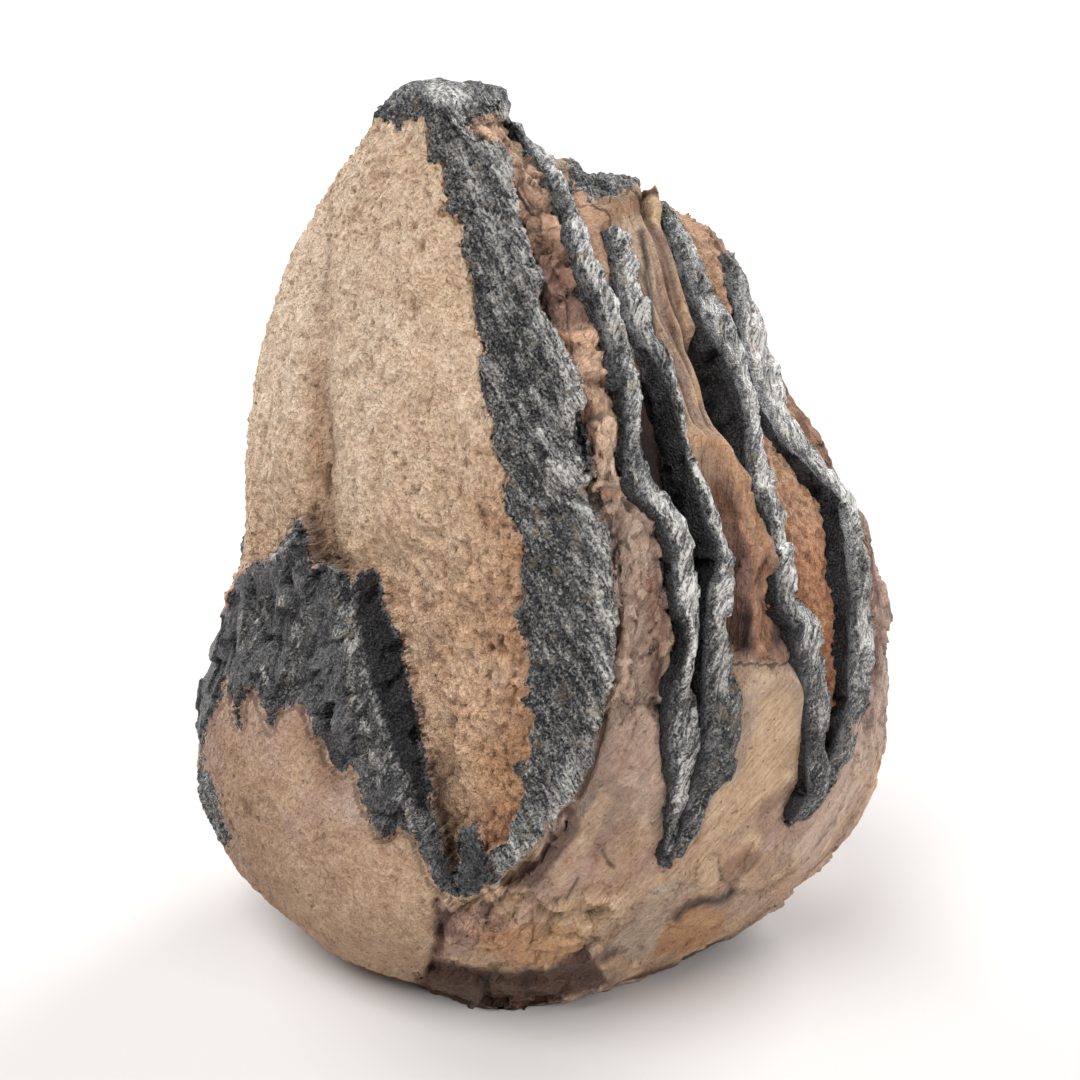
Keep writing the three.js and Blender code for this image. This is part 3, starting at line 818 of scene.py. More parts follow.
def tissues(points, outward, x, y):
    """Masks from 0 to 1 of each tissue at the given points, with their places on the drawing."""
    facing = facing_eye(points, outward)
    seen = smoothstep(facing, 0.0, 0.2)
    edge = enamel_distance(points, x, y, smoothstep(facing, -0.03, 0.06))
    enamel = smoothstep(edge, -0.08, 0.12)
    height = points[:, 2]
    places = wall_places(height)
    end_side = smoothstep(places[0] - points[:, 0], -0.5, 1.0)
    bare = seen * smoothstep(outline_distance(x, y, BARE_FACE), -3, 3)
    bare = bare + (1 - seen) * end_side * smoothstep(height, 30, 38)
    lump = seen * smoothstep(outline_distance(x, y, ROOT_LUMP), -3, 3)
    lump = lump + (1 - seen) * smoothstep(26 - height, -3, 3) * end_side
    layer = sum((points[:, 0] > place).astype(float) for place in places[1:5])
    return {
        "seen": seen,
        "edge": edge,
        "enamel": enamel,
        "bare": bare * (1 - enamel),
        "lump": lump * (1 - enamel),
        "layer": layer,
        "places": places,
        "flank": (1 - bare) * (1 - lump) * (1 - enamel),
    }


print("places of the walls along X at 50 mm:", [round(float(place), 1) for place in wall_places(50.0)])

# %% [markdown]
# ## Broad relief
#
# These are the forms that show from a step away: the groove down the bare face, the deep foot of that face
# behind the patch, the gaps where the core of a plate has fallen out, and the worn facets of the cement.
# Each is a stroke of the drawing with a width to fade over and a height in mm, and each gap is a depth that
# changes on the way down.

# %% Numbers of the broad relief
# Depth in mm below the unworn flank for each layer, at heights of the drawing: (down, beside the wall on its
# left, beside the wall on its right).
FILLS = [
    [(120, 0.6, 0.4), (240, 1.6, 0.7), (350, 1.5, 0.9), (440, 1.4, 0.6), (485, 0.9, 0.4), (510, 0.35, 0.9),
     (600, 0.35, 1.4), (690, 0.3, 1.4), (705, 0.2, 0.2), (860, 0.0, 0.0)],
    [(225, 0.4, 0.5), (330, 0.8, 0.9), (385, 2.2, 3.4), (420, 2.6, 3.4), (490, 3.4, 4.2), (560, 5.2, 4.6),
     (700, 5.2, 4.6), (760, 2.6, 2.2), (830, 1.2, 0.8), (868, 0.0, 0.0)],
    [(225, 0.4, 0.1), (325, 0.7, 0.3), (345, 0.7, 3.2), (405, 0.5, 4.1), (430, 0.2, 2.8), (452, 0.2, 1.2),
     (480, 1.2, -0.1), (520, 2.2, 1.4), (640, 2.8, 1.2), (672, 0.8, 0.2), (700, 0.2, 0.0), (880, 0.0, 0.0)],
    [(257, 0.2, 0.2), (340, 0.6, 0.4), (430, 0.7, 0.8), (480, 0.7, 1.6), (560, 0.8, 2.2), (700, 0.9, 1.2),
     (740, 1.6, 1.6), (800, 0.4, 0.4), (835, 0.0, 0.0)],
    [(257, 0.6, 0.3), (480, 1.2, 0.3), (600, 1.4, 0.4), (700, 0.9, 0.2), (740, 0.0, 0.0)],
]
FILL_SUNK = 1.5  # mm that the fills have worn down on the far flank
# (line, fade in drawing units, lift in mm)
STROKES = [
    ("460,590 474,594", 8, 0.5),
    ("400,560 404,640", 20, -0.5),
    ("440,640 470,760", 24, 0.4),
    ("384,428 376,442", 8, -0.5),
    ("582,418 587,472", 7, -2.0),
    ("592,436 595,474", 3.5, 0.5),
    ("545,440 574,482", 9, 0.6),
    ("556,492 588,500", 4, -0.7),
    ("572,505 604,560", 10, 0.4),
    ("305,250 290,400 285,500", 26, 0.6),
    ("400,200 430,400", 36, 0.4),
    ("240,720 330,850", 60, 0.8),
    ("420,915 350,935", 45, 1.0),
    ("318,742 334,790", 12, -0.6),
    ("643,298 648,325", 6, -2.2),
    ("690,268 708,330", 6, -1.0),
    ("696,440 712,442 736,480 752,520 770,560", 11, 1.5),
    ("735,380 745,425", 8, -0.8),
    ("746,622 747,646", 7, -1.6),
    ("779,610 777,640", 6, -1.5),
    ("765,682 785,692", 17, 1.5),
    ("612,210 634,204", 10, 1.3),
    ("650,200 654,216", 6, 1.6),
    ("639,198 640,210", 4, -1.2),
    ("570,172 584,184", 9, 1.0),
    ("596,180 628,190", 9, 1.1),
    ("545,968 430,978", 22, -1.2),
    ("664,938 708,928", 14, 0.9),
    ("437,900 441,935 430,968", 5, -1.1),
    ("475,905 520,925", 12, -0.6),
    ("505,884 540,862 566,826", 5, -0.9),
    ("560,912 650,826 745,706", 10, 0.3),
    ("602,850 608,862 614,867", 1.6, -0.5),
    ("566,899 578,878", 1.6, -0.4),
    ("660,668 656,690", 6, -0.9),
    ("655,706 662,712", 5, -0.9),
    ("520,222 536,232", 7, -1.2),
    ("700,660 716,700", 10, -0.6),
    ("564,812 582,834", 6, 0.9),
    ("522,950 560,944", 10, 0.6),
    ("438,925 452,932", 8, -0.8),
    ("556,962 588,950", 6, -0.7),
    ("722,868 752,858", 6, -0.5),
]
print(len(STROKES), "strokes")

# %% Ridges, far forms, flats and the groove
# Sharp edges between shell-shaped breaks: the same, with a crest instead of a round top.
RIDGES = [
    ("741,520 748,540 756,557 753,575 753,592 758,615 757,642 764,656", 13, 1.0),
    ("756,557 770,566 777,578 770,592 764,604 768,630 765,652", 12, 0.9),
    ("716,486 738,522", 8, 0.5),
    ("740,652 770,658 795,655", 8, 0.5),
    ("548,232 560,262 570,290", 9, 0.7),
    ("536,196 546,236", 8, 0.5),
    ("560,332 592,344", 9, 0.8),
    ("578,376 606,372", 8, 0.7),
    ("586,392 608,398 612,440", 8, 0.5),
    ("590,486 622,484", 7, 0.6),
    ("662,524 664,600 654,660", 9, 0.6),
    ("566,812 548,862 512,888", 8, 0.5),
    ("719,791 702,825 685,859 654,884 629,918 601,952", 16, 0.5),
    ("840,690 868,640 880,560", 12, 0.5),
    ("612,540 628,640 622,700", 12, 0.5),
    ("440,905 470,930 520,962", 12, 0.7),
    ("470,905 500,940 560,950", 12, 0.6),
    ("420,955 470,962 540,968 600,946", 10, 0.7),
]
# The same away from the drawing's side: (middle in mm, fade in mm, lift in mm).
FAR_FORMS = [
    ((-11.3, 8.7, 93.2), 3.2, 1.1),
    ((-4.8, 2.7, 92.8), 3.2, 1.1),
    ((-9, 31, 30), 8, -1.8),
    ((10, 31, 58), 7, -1.6),
    ((20, 27, 34), 9, 1.4),
    ((-20, 25, 18), 9, 1.5),
    ((8, 30, 12), 8, 1.3),
    ((31, 10, 44), 9, -1.8),
    ((33, -6, 30), 8, 1.0),
    ((27, 10, 66), 7, -1.4),
    ((25, -6, 76), 6, -2.0),
    ((24, -10.5, 70), 5, -1.8),
    ((24, -13, 65), 5, -1.3),
    ((30, 12, 16), 8, -1.4),
    ((-27, 14, 44), 8, -1.2),
]
# Worn flats of the lower cement: a point of the drawing and how deep the flat is cut, in mm.
FLATS = [((752, 812), 1.5), ((612, 862), 1.1), ((690, 925), 1.3), ((835, 800), 0.8)]
GROOVE = traced("338,195 330,240 326,290 331,340 327,395 334,450 330,500 336,545 342,575")
print(len(RIDGES), "ridges,", len(FAR_FORMS), "far forms and", len(FLATS), "flats")

# %% Broad relief
def groove_depth(x, y):
    """The groove down the bare face: it dips slowly from the left and ends at a steep right bank."""
    middle = np.interp(y, [p[1] for p in GROOVE], [p[0] for p in GROOVE])
    depth = np.interp(y, [185, 240, 330, 450, 560, 590], [0.0, 0.9, 1.3, 1.8, 1.9, 0.6])
    away = (x - middle) / np.where(x < middle, 22.0, 8.0)
    return depth * np.exp(-away * away)


def patch_lift(x, y, masks):
    """The patch stands on the face as a plate, and slopes down along its broken right face."""
    raised = 1.1 * smoothstep(outline_distance(x, y, PATCH), -3.0, 4.0)
    low = smoothstep(stroke_distance(x, y, PATCH_LOWER), 4, 30)
    raised = raised * (0.45 + 0.55 * low)
    to_left, to_right = stroke_distance(x, y, STRIP_LEFT), stroke_distance(x, y, STRIP_RIGHT)
    across = to_left / np.maximum(to_left + to_right, 1e-6)
    in_strip = smoothstep(outline_distance(x, y, STRIP), -1.0, 1.5)
    raised = raised * (1 - in_strip) + in_strip * (1.35 - 3.2 * across**0.85)
    beside_patch = near_line(x, y, PATCH_UPPER[4:], 4.5 * UNITS_PER_MM)
    return raised - masks["bare"] * (0.25 + 2.05 * smoothstep(x, 350, 388)) * beside_patch


def broad_relief(points, masks, x, y):
    worn = (
        smoothstep(points[:, 0], -13, -9)
        * (1 - smoothstep(points[:, 0], 21, 26))
        * smoothstep(points[:, 2], 17, 30)
    )
    seen = masks["seen"]
    lift = -FILL_SUNK * worn * (1 - seen)
    for layer, profile in enumerate(FILLS):
        down, beside_left, beside_right = zip(*profile)
        start, end = masks["places"][layer], masks["places"][layer + 1]
        share = smoothstep((points[:, 0] - start) / (end - start), 0.2, 0.85)
        depth = (1 - share) * np.interp(y, down, beside_left) + share * np.interp(y, down, beside_right)
        lift -= seen * masks["flank"] * (masks["layer"] == layer) * depth
    for middle, fade, amount in FAR_FORMS:
        away = np.linalg.norm(points - np.array(middle), axis=1) / fade
        lift += amount * np.exp(-away * away)
    for line, fade, amount in STROKES:
        lift += seen * amount * near_line(x, y, line, fade)
    for line, fade, amount in RIDGES:
        lift += seen * amount * np.maximum(1 - stroke_distance(x, y, line) / fade, 0) ** 1.6
    lift -= seen * masks["bare"] * groove_depth(x, y)
    lift += seen * patch_lift(x, y, masks)
    # A hollow shows to the left of the place where it is sunk.
    lift -= 1.5 * seen * near_line(x - 6, y, NOTCH, 8)
    # The fills stand a little off the walls.
    gap = near_line(x - 2, y, END_WALL_RIGHT[2:-2], 4.5) * (y < 800)
    for wall in WALLS.values():
        gap = np.maximum(gap, near_line(x - 1, y, wall["left"][:-4], 5.0))
        gap = np.maximum(gap, 0.5 * near_line(x + 1, y, wall["right"][:-4], 5.0))
    lift -= 0.75 * seen * masks["flank"] * gap

    # The end wall's rim swells towards the flank and then drops into the cement.
    in_wall = smoothstep(outline_distance(x, y, END_WALL), 0, 4) * seen
    return lift + in_wall * (0.15 + 0.75 * near_line(x, y, END_WALL_RIGHT, 3.0 * UNITS_PER_MM))


def cut_flats(points):
    """Brings everything above each worn flat down to it."""
    for (across, down), depth in FLATS:
        place, out = hit(EYE, sight_line(across, down))
        proud = (points - place) @ out + depth
        points = points - np.maximum(proud, 0)[:, None] * out
    return points


print("the groove is up to", groove_depth(np.array([336.0]), np.array([545.0]))[0].round(1), "mm deep")

# %% Place the broad relief
# What lies left of the end wall is placed where it will be seen once it has been raised or sunk. Right of it
# the walls hide the foot of each step, so the outlines hold on the unworn surface.
x, y = on_drawing(body_points_mm)
on_face = x < np.interp(y, [p[1] for p in END_WALL_LEFT], [p[0] for p in END_WALL_LEFT]) + 2
to_place = on_face & (facing_eye(body_points_mm, body_outward) > 0)
start_points, start_outward = body_points_mm[to_place], body_outward[to_place]
drawn_x, drawn_y = x.copy(), y.copy()
# Only part of each correction is made, because the full one swings to and fro at the foot of a step.
CORRECTION = 0.6
for _ in range(4):
    part_masks = tissues(start_points, start_outward, drawn_x[to_place], drawn_y[to_place])
    part_lift = broad_relief(start_points, part_masks, drawn_x[to_place], drawn_y[to_place])
    moved_x, moved_y = on_drawing(start_points + start_outward * part_lift[:, None])
    drawn_x[to_place] += CORRECTION * (moved_x - drawn_x[to_place])
    drawn_y[to_place] += CORRECTION * (moved_y - drawn_y[to_place])
masks = tissues(body_points_mm, body_outward, drawn_x, drawn_y)
lift = broad_relief(body_points_mm, masks, drawn_x, drawn_y)
relieved = cut_flats(body_points_mm + body_outward * lift[:, None])
for name in ("enamel", "bare", "lump", "flank"):
    print(f"{name}: {100 * masks[name].mean():.0f}% of the points")
print("broad relief moves points by up to", np.abs(lift).max().round(2), "mm")

# %% [markdown]
# ## Broken texture
#
# The masks now give each tissue its own grain. Bare dentine is sandy with small pits. Enamel is splintery,
# with fine fibres that run down the wall. Cement snaps into chips where it is thin, and its worn lower part
# is smooth with a few cracks. The root only rolls gently.

# %% Directions, cracks and chips
def turned(points, direction):
    """Coordinates of points across and along a direction, so that noise can be stretched along it."""
    along = np.array(direction, float)
    along /= np.linalg.norm(along)
    across = np.cross(along, [0.3, 0.9, 0.1])
    across /= np.linalg.norm(across)
    third = np.cross(along, across)
    return np.stack([points @ across, points @ third, points @ along], axis=1)


WALL_DIRECTION = ACROSS * 0.1 + np.array([0, 0, 1.0])
FACET_DIRECTION = ACROSS * 0.62 + DRAWING_UP * 0.78
FIBRE_DIRECTION = ACROSS * 0.5 - DRAWING_UP * 0.87
PATCH_DIRECTION = ACROSS * 0.6 + DRAWING_UP * 0.8
PANEL_DIRECTION = ACROSS * 0.28 - DRAWING_UP * 0.96
FLANK_FOOT = (20, 27)  # heights in mm between which the layers give way to the worn lower cement
CORNER_SEED = 72
COLUMNS_SEED = 11


def veins(points, width):
    """Thin cracks that wander through cement and root, where a noise passes zero."""
    crack = 1 - smoothstep(np.abs(fractal_noise(points, 7.0, 3, 19)), 0.0, width)
    return crack * smoothstep(smooth_noise(points, 9.0, 25), 0.1, 0.5)


def pits(points):
    """Small round pits that come in swarms."""
    pit = smoothstep(smooth_noise(points, np.array([1.3, 1.3, 2.0]), 3), 0.45, 0.75)
    return pit * smoothstep(smooth_noise(points, 8.0, 4), -0.3, 0.5)


def pinholes(points):
    return smoothstep(smooth_noise(points, np.array([0.9, 0.9, 1.3]), 31), 0.5, 0.75)


def snapped(points):
    """The larger chips into which cement snaps: their heights, and how near each point is to a crack."""
    return broken_noise(turned(points, WALL_DIRECTION), np.array([2.2, 2.2, 5.5]), 8, 0.9)


def plates(points):
    """The splintered steps of the patch."""
    return broken_noise(turned(points, PATCH_DIRECTION), np.array([1.9, 1.9, 5.5]), 16, 0.9)


def plank_places(points, masks):
    """Coordinates in which the columns between the third and fourth walls stand side by side."""
    start, end = masks["places"][2], masks["places"][3]
    share = (points[:, 0] - start) / (end - start)
    return np.stack([19.0 * share, 0 * share, points[:, 2] / 12.0], axis=1)


def inside(mask, points, make):
    """A mask times a relief that is only worked out where the mask is above nothing."""
    values = np.zeros(len(mask))
    chosen = mask > 0.001
    if chosen.any():
        values[chosen] = mask[chosen] * make(points[chosen])
    return values


def calmed(directions, points):
    """Round the very tip, where all columns of points meet, every point faces up."""
    share = smoothstep(points[:, 2], 92.6, 94.2)[:, None]
    mixed = directions * (1 - share) + np.array([0.0, 0.0, 1.0]) * share
    return mixed / np.linalg.norm(mixed, axis=1)[:, None]


print("pits cover", f"{100 * (pits(test_points) > 0.5).mean():.0f}% of the first rings")

# %% Fine relief of dentine and enamel
def dentine_relief(points, masks, y):
    """Sandy with small pits, and coarser towards its foot."""
    bare = masks["bare"]
    coarse = masks["seen"] * smoothstep(y, 400, 620)
    flakes = np.array([0.62, 0.62, 0.95])
    lift = inside(
        bare * (1 + 0.6 * coarse),
        points,
        lambda p: 0.14 * broken_noise(p, flakes, 70, 1.0)[0]
        + 0.3 * fractal_noise(p, np.array([1.8, 1.8, 3.4]), 3, 2)
        - 0.6 * pits(p)
        - 0.35 * pinholes(p),
    )
    lumps = np.array([1.6, 1.6, 3.0])
    return lift + inside(bare * coarse, points, lambda p: 0.42 * fractal_noise(p, lumps, 3, 15))


def enamel_relief(points, masks, x, y):
    """A crust of granules, fibres that fan out to the worn rim, and the patch's broken steps."""
    enamel = masks["enamel"]
    fibrous = 0.35 + 0.65 * near_line(x, y, END_WALL_RIGHT[4:], 4.0 * UNITS_PER_MM)
    on_patch = enamel * masks["seen"] * smoothstep(outline_distance(x, y, PATCH), -2, 4)
    off_patch = enamel * (1 - on_patch)
    panel = smoothstep(stroke_distance(x, y, STRIP_LEFT), 4, 22)
    by_edge = 0.3 + 0.7 * smoothstep(x, 204, 236)
    lift = inside(
        off_patch,
        points,
        lambda p: 0.34 * smoothstep(broken_noise(p, 0.85, 50)[1], 0, 0.5) - 0.2
        + 0.95 * fractal_noise(p, 3.4, 2, 7),
    )
    lift += inside(
        off_patch * fibrous,
        points,
        lambda p: 0.5 * fractal_noise(turned(p, FIBRE_DIRECTION), np.array([1.1, 1.1, 4.5]), 2, 5),
    )
    lift += inside(on_patch * (0.45 + 0.55 * panel) * by_edge, points, lambda p: 0.65 * plates(p)[0])
    lift += inside(on_patch, points, lambda p: 0.18 * fractal_noise(p, 1.3, 2, 51))
    lift += inside(
        on_patch * (1 - panel),
        points,
        lambda p: 0.22 * fractal_noise(turned(p, PANEL_DIRECTION), np.array([0.6, 0.6, 6.0]), 2, 52),
    )
    # The crown's cap is worn lower towards its top.
    return lift - 0.65 * smoothstep(points[:, 2], 88.5, 94) - 0.5 * smoothstep(points[:, 2], 93, 96)


print("enamel fibres run along", FIBRE_DIRECTION.round(2))

# %% Fine relief between the walls
def thin_cement(points, masks, y):
    """Where the cement behind the end wall is thin and snaps into chips."""
    seen, high = masks["seen"], smoothstep(points[:, 2], *FLANK_FOOT)
    thin = masks["flank"] * (masks["layer"] == 0) * (seen * (1 - smoothstep(y, 700, 750)) + (1 - seen) * high)
    from_end_wall = points[:, 0] - masks["places"][0]
    smooth_band = smoothstep(from_end_wall, 2.2, 3.6) * smoothstep(y, 480, 500)
    return thin * (1 - 0.85 * seen * (y > 480) * (1 - smooth_band))


def fill_relief(points, masks, thin, y):
    """Chips, columns, flakes and sand, layer by layer."""
    seen, layer, flank = masks["seen"], masks["layer"], masks["flank"]
    high = smoothstep(points[:, 2], *FLANK_FOOT)
    calm = seen * np.interp(y, [300, 340, 470, 500], [0.3, 0.65, 0.65, 0.2])
    lift = inside(thin * (1 - calm), points, lambda p: 0.42 * snapped(p)[0])
    small = np.maximum(thin, 0.7 * flank * (layer >= 4) * high)
    chips = np.array([1.1, 1.1, 1.9])
    lift += inside(small, points, lambda p: 0.24 * broken_noise(p, chips, 17, 1.3)[0])
    lift += inside(flank * (layer == 1) * high, points, lambda p: 0.35 * fractal_noise(p, 1.6, 2, 18))
    upper = smoothstep(points[:, 2], 46, 52)
    columns = flank * (layer == 2) * upper
    lift += inside(
        columns, plank_places(points, masks), lambda p: 0.8 * fractal_noise(p, 1.4, 3, COLUMNS_SEED)
    )
    flaked = flank * (layer == 2) * seen * smoothstep(y, 480, 505) * (1 - smoothstep(y, 660, 678))
    flaked = np.maximum(flaked, flank * (layer == 2) * (1 - seen) * high * (1 - upper))
    flakes = np.array([1.7, 1.7, 6.0])
    lift += inside(
        flaked, points, lambda p: 0.4 * broken_noise(turned(p, WALL_DIRECTION), flakes, 9, 0.8)[0]
    )
    lift += inside(
        flank * (layer == 3) * high,
        points,
        lambda p: 0.2 * broken_noise(p, 0.9, 70, 1.0)[0] + 0.3 * fractal_noise(p, 3.0, 2, 2) - 0.4 * pits(p),
    )
    outer = flank * (layer >= 4) * smoothstep(points[:, 2], 24, 30)
    blocks = np.array([4.5, 4.5, 6.0])
    return lift + inside(outer, points, lambda p: 0.4 * broken_noise(p, blocks, 10, 0.8)[0])


print("flakes and columns stand along", WALL_DIRECTION.round(2))

# %% Fine relief of the lower cement and the root
def lower_relief(points, masks, thin, x, y):
    """The worn lower cement, its broken corner, the stub, the underside and the root."""
    seen, flank = masks["seen"], masks["flank"]
    low = flank * (1 - seen * np.minimum(thin, 1)) * (1 - smoothstep(points[:, 2], *FLANK_FOOT))
    long_streaks, long_chips = np.array([1.1, 1.1, 7.0]), np.array([2.4, 2.4, 6.0])
    lift = inside(
        low,
        points,
        lambda p: 0.2 * fractal_noise(turned(p, FACET_DIRECTION), long_streaks, 3, 12)
        + 0.16 * broken_noise(turned(p, FACET_DIRECTION), long_chips, 71, 0.8)[0]
        + 0.09 * fractal_noise(p, 0.7, 2, 6)
        - 0.3 * veins(p, 0.035)
        - 0.3 * pits(p),
    )
    corner = seen * near_line(x, y, "450,912 530,925 600,930", 24)
    strip = seen * near_line(x, y, "508,882 545,855 572,812", 9)
    lift += inside(
        low * corner + flank * strip, points, lambda p: 0.6 * broken_noise(p, 2.1, CORNER_SEED, 1.1)[0]
    )
    stub = smoothstep(outline_distance(x, y, STUB), -2, 3) * seen
    under = (1 - seen) * low * smoothstep(points[:, 2], 0.3, 3)
    blocks = np.array([5.5, 5.5, 4.5])
    lift += inside(np.maximum(stub, 0.7 * under), points, lambda p: 0.7 * broken_noise(p, blocks, 10, 0.8)[0])
    return lift + inside(
        masks["lump"],
        points,
        lambda p: 0.3 * fractal_noise(p, 9.0, 2, 13)
        + 0.09 * broken_noise(p, 0.8, 73, 1.0)[0]
        - 0.3 * pits(p)
        - 0.15 * veins(p, 0.035),
    )


print("the lower cement begins below", FLANK_FOOT[1], "mm")

# %% Break the surface
body_mesh.vertices.foreach_set("co", relieved.reshape(-1))
body_mesh.update()
_, relieved_outward = mesh_arrays(body_mesh)
relieved_outward = calmed(relieved_outward, relieved)
thin = thin_cement(relieved, masks, drawn_y)
detail = dentine_relief(relieved, masks, drawn_y) + enamel_relief(relieved, masks, drawn_x, drawn_y)
detail += fill_relief(relieved, masks, thin, drawn_y) + lower_relief(relieved, masks, thin, drawn_x, drawn_y)
detail = detail * (1 - 0.9 * smoothstep(body_points_mm[:, 2], 93.4, 94.6))
final_points = relieved + relieved_outward * detail[:, None]
print("fine relief: from", detail.min().round(2), "to", detail.max().round(2), "mm")

# %% [markdown]
# ## Stains
#
# Colour on a fossil is also a matter of tissue: iron has stained the dentine orange next to the enamel, the
# cement is a cooler brown, and dirt stays in the grooves. Some of the dark in grooves, gaps and hollows is
# painted shade. The ground colour of each point is mixed here from a small palette, by the same masks, and
# kept as a point attribute. The finest variation is left to the shader.

# %% Palette
def rgb(red, green, blue):
    """A colour given in 0 to 255 as it looks on a screen, turned to the light it reflects."""
    value = np.array([red, green, blue]) / 255.0
    return np.where(value <= 0.04045, value / 12.92, ((value + 0.055) / 1.055) ** 2.4)


DENTINE_PALE = rgb(232, 208, 184)
DENTINE = rgb(218, 188, 158)
DENTINE_WARM = rgb(208, 164, 128)
DENTINE_ORANGE = rgb(178, 130, 94)
DIRT_AND_SHADE = rgb(108, 76, 56)
CEMENT_PINK = rgb(176, 145, 128)
CEMENT_TAN = rgb(184, 151, 122)
CEMENT_CREAM = rgb(206, 174, 141)
CEMENT_BROWN = rgb(134, 100, 78)
CEMENT_SHADOW = rgb(78, 54, 44)
ROOT_TAN = rgb(186, 154, 126)
ROOT_PINK = rgb(180, 149, 130)
STUB_BROWN = rgb(96, 70, 56)


def paint(colour, mask, tone):
    return colour + mask[:, None] * (tone - colour)


print("dentine reflects", DENTINE.round(2), "and cement", CEMENT_TAN.round(2))

# %% Colours of the layers between the walls
# What lies between the walls, layer by layer: the colour at heights of the drawing.
FILL_TONES = [
    {120: (204, 164, 134), 235: (204, 160, 128), 258: (150, 112, 90), 322: (150, 112, 96),
     334: (224, 180, 144), 400: (206, 166, 136), 480: (206, 172, 144), 500: (180, 150, 130),
     700: (176, 146, 124)},
    # The second layer turns near-black low down, as painted shade in its deep gap.
    {225: (188, 144, 112), 330: (184, 138, 106), 350: (136, 92, 66), 480: (112, 76, 58), 560: (52, 42, 38),
     700: (44, 40, 40), 800: (70, 66, 66)},
    {225: (158, 128, 106), 400: (146, 116, 96), 470: (176, 140, 112), 500: (136, 100, 80), 600: (132, 96, 82),
     650: (144, 106, 86), 675: (188, 158, 132), 880: (178, 148, 122)},
    {257: (194, 150, 114), 340: (188, 140, 104), 450: (194, 148, 112), 520: (186, 134, 94),
     570: (178, 120, 78), 690: (178, 116, 72), 745: (168, 98, 58)},
    {330: (150, 112, 90), 440: (172, 126, 96), 500: (186, 154, 136), 700: (176, 146, 128),
     800: (180, 152, 132)},
]



def fill_colour(layer, down):
    """The colour of each layer at heights of the drawing."""
    colour = np.zeros((len(down), 3))
    for number, tones in enumerate(FILL_TONES):
        shades = np.array([rgb(*tone) for tone in tones.values()])
        here = (layer == number) if number < len(FILL_TONES) - 1 else (layer >= number)
        for channel in range(3):
            colour[here, channel] = np.interp(down[here], list(tones), shades[:, channel])
    return 0.85 * colour + 0.15 * colour.mean(axis=1)[:, None]


print(len(FILL_TONES), "layers have colours of their own")
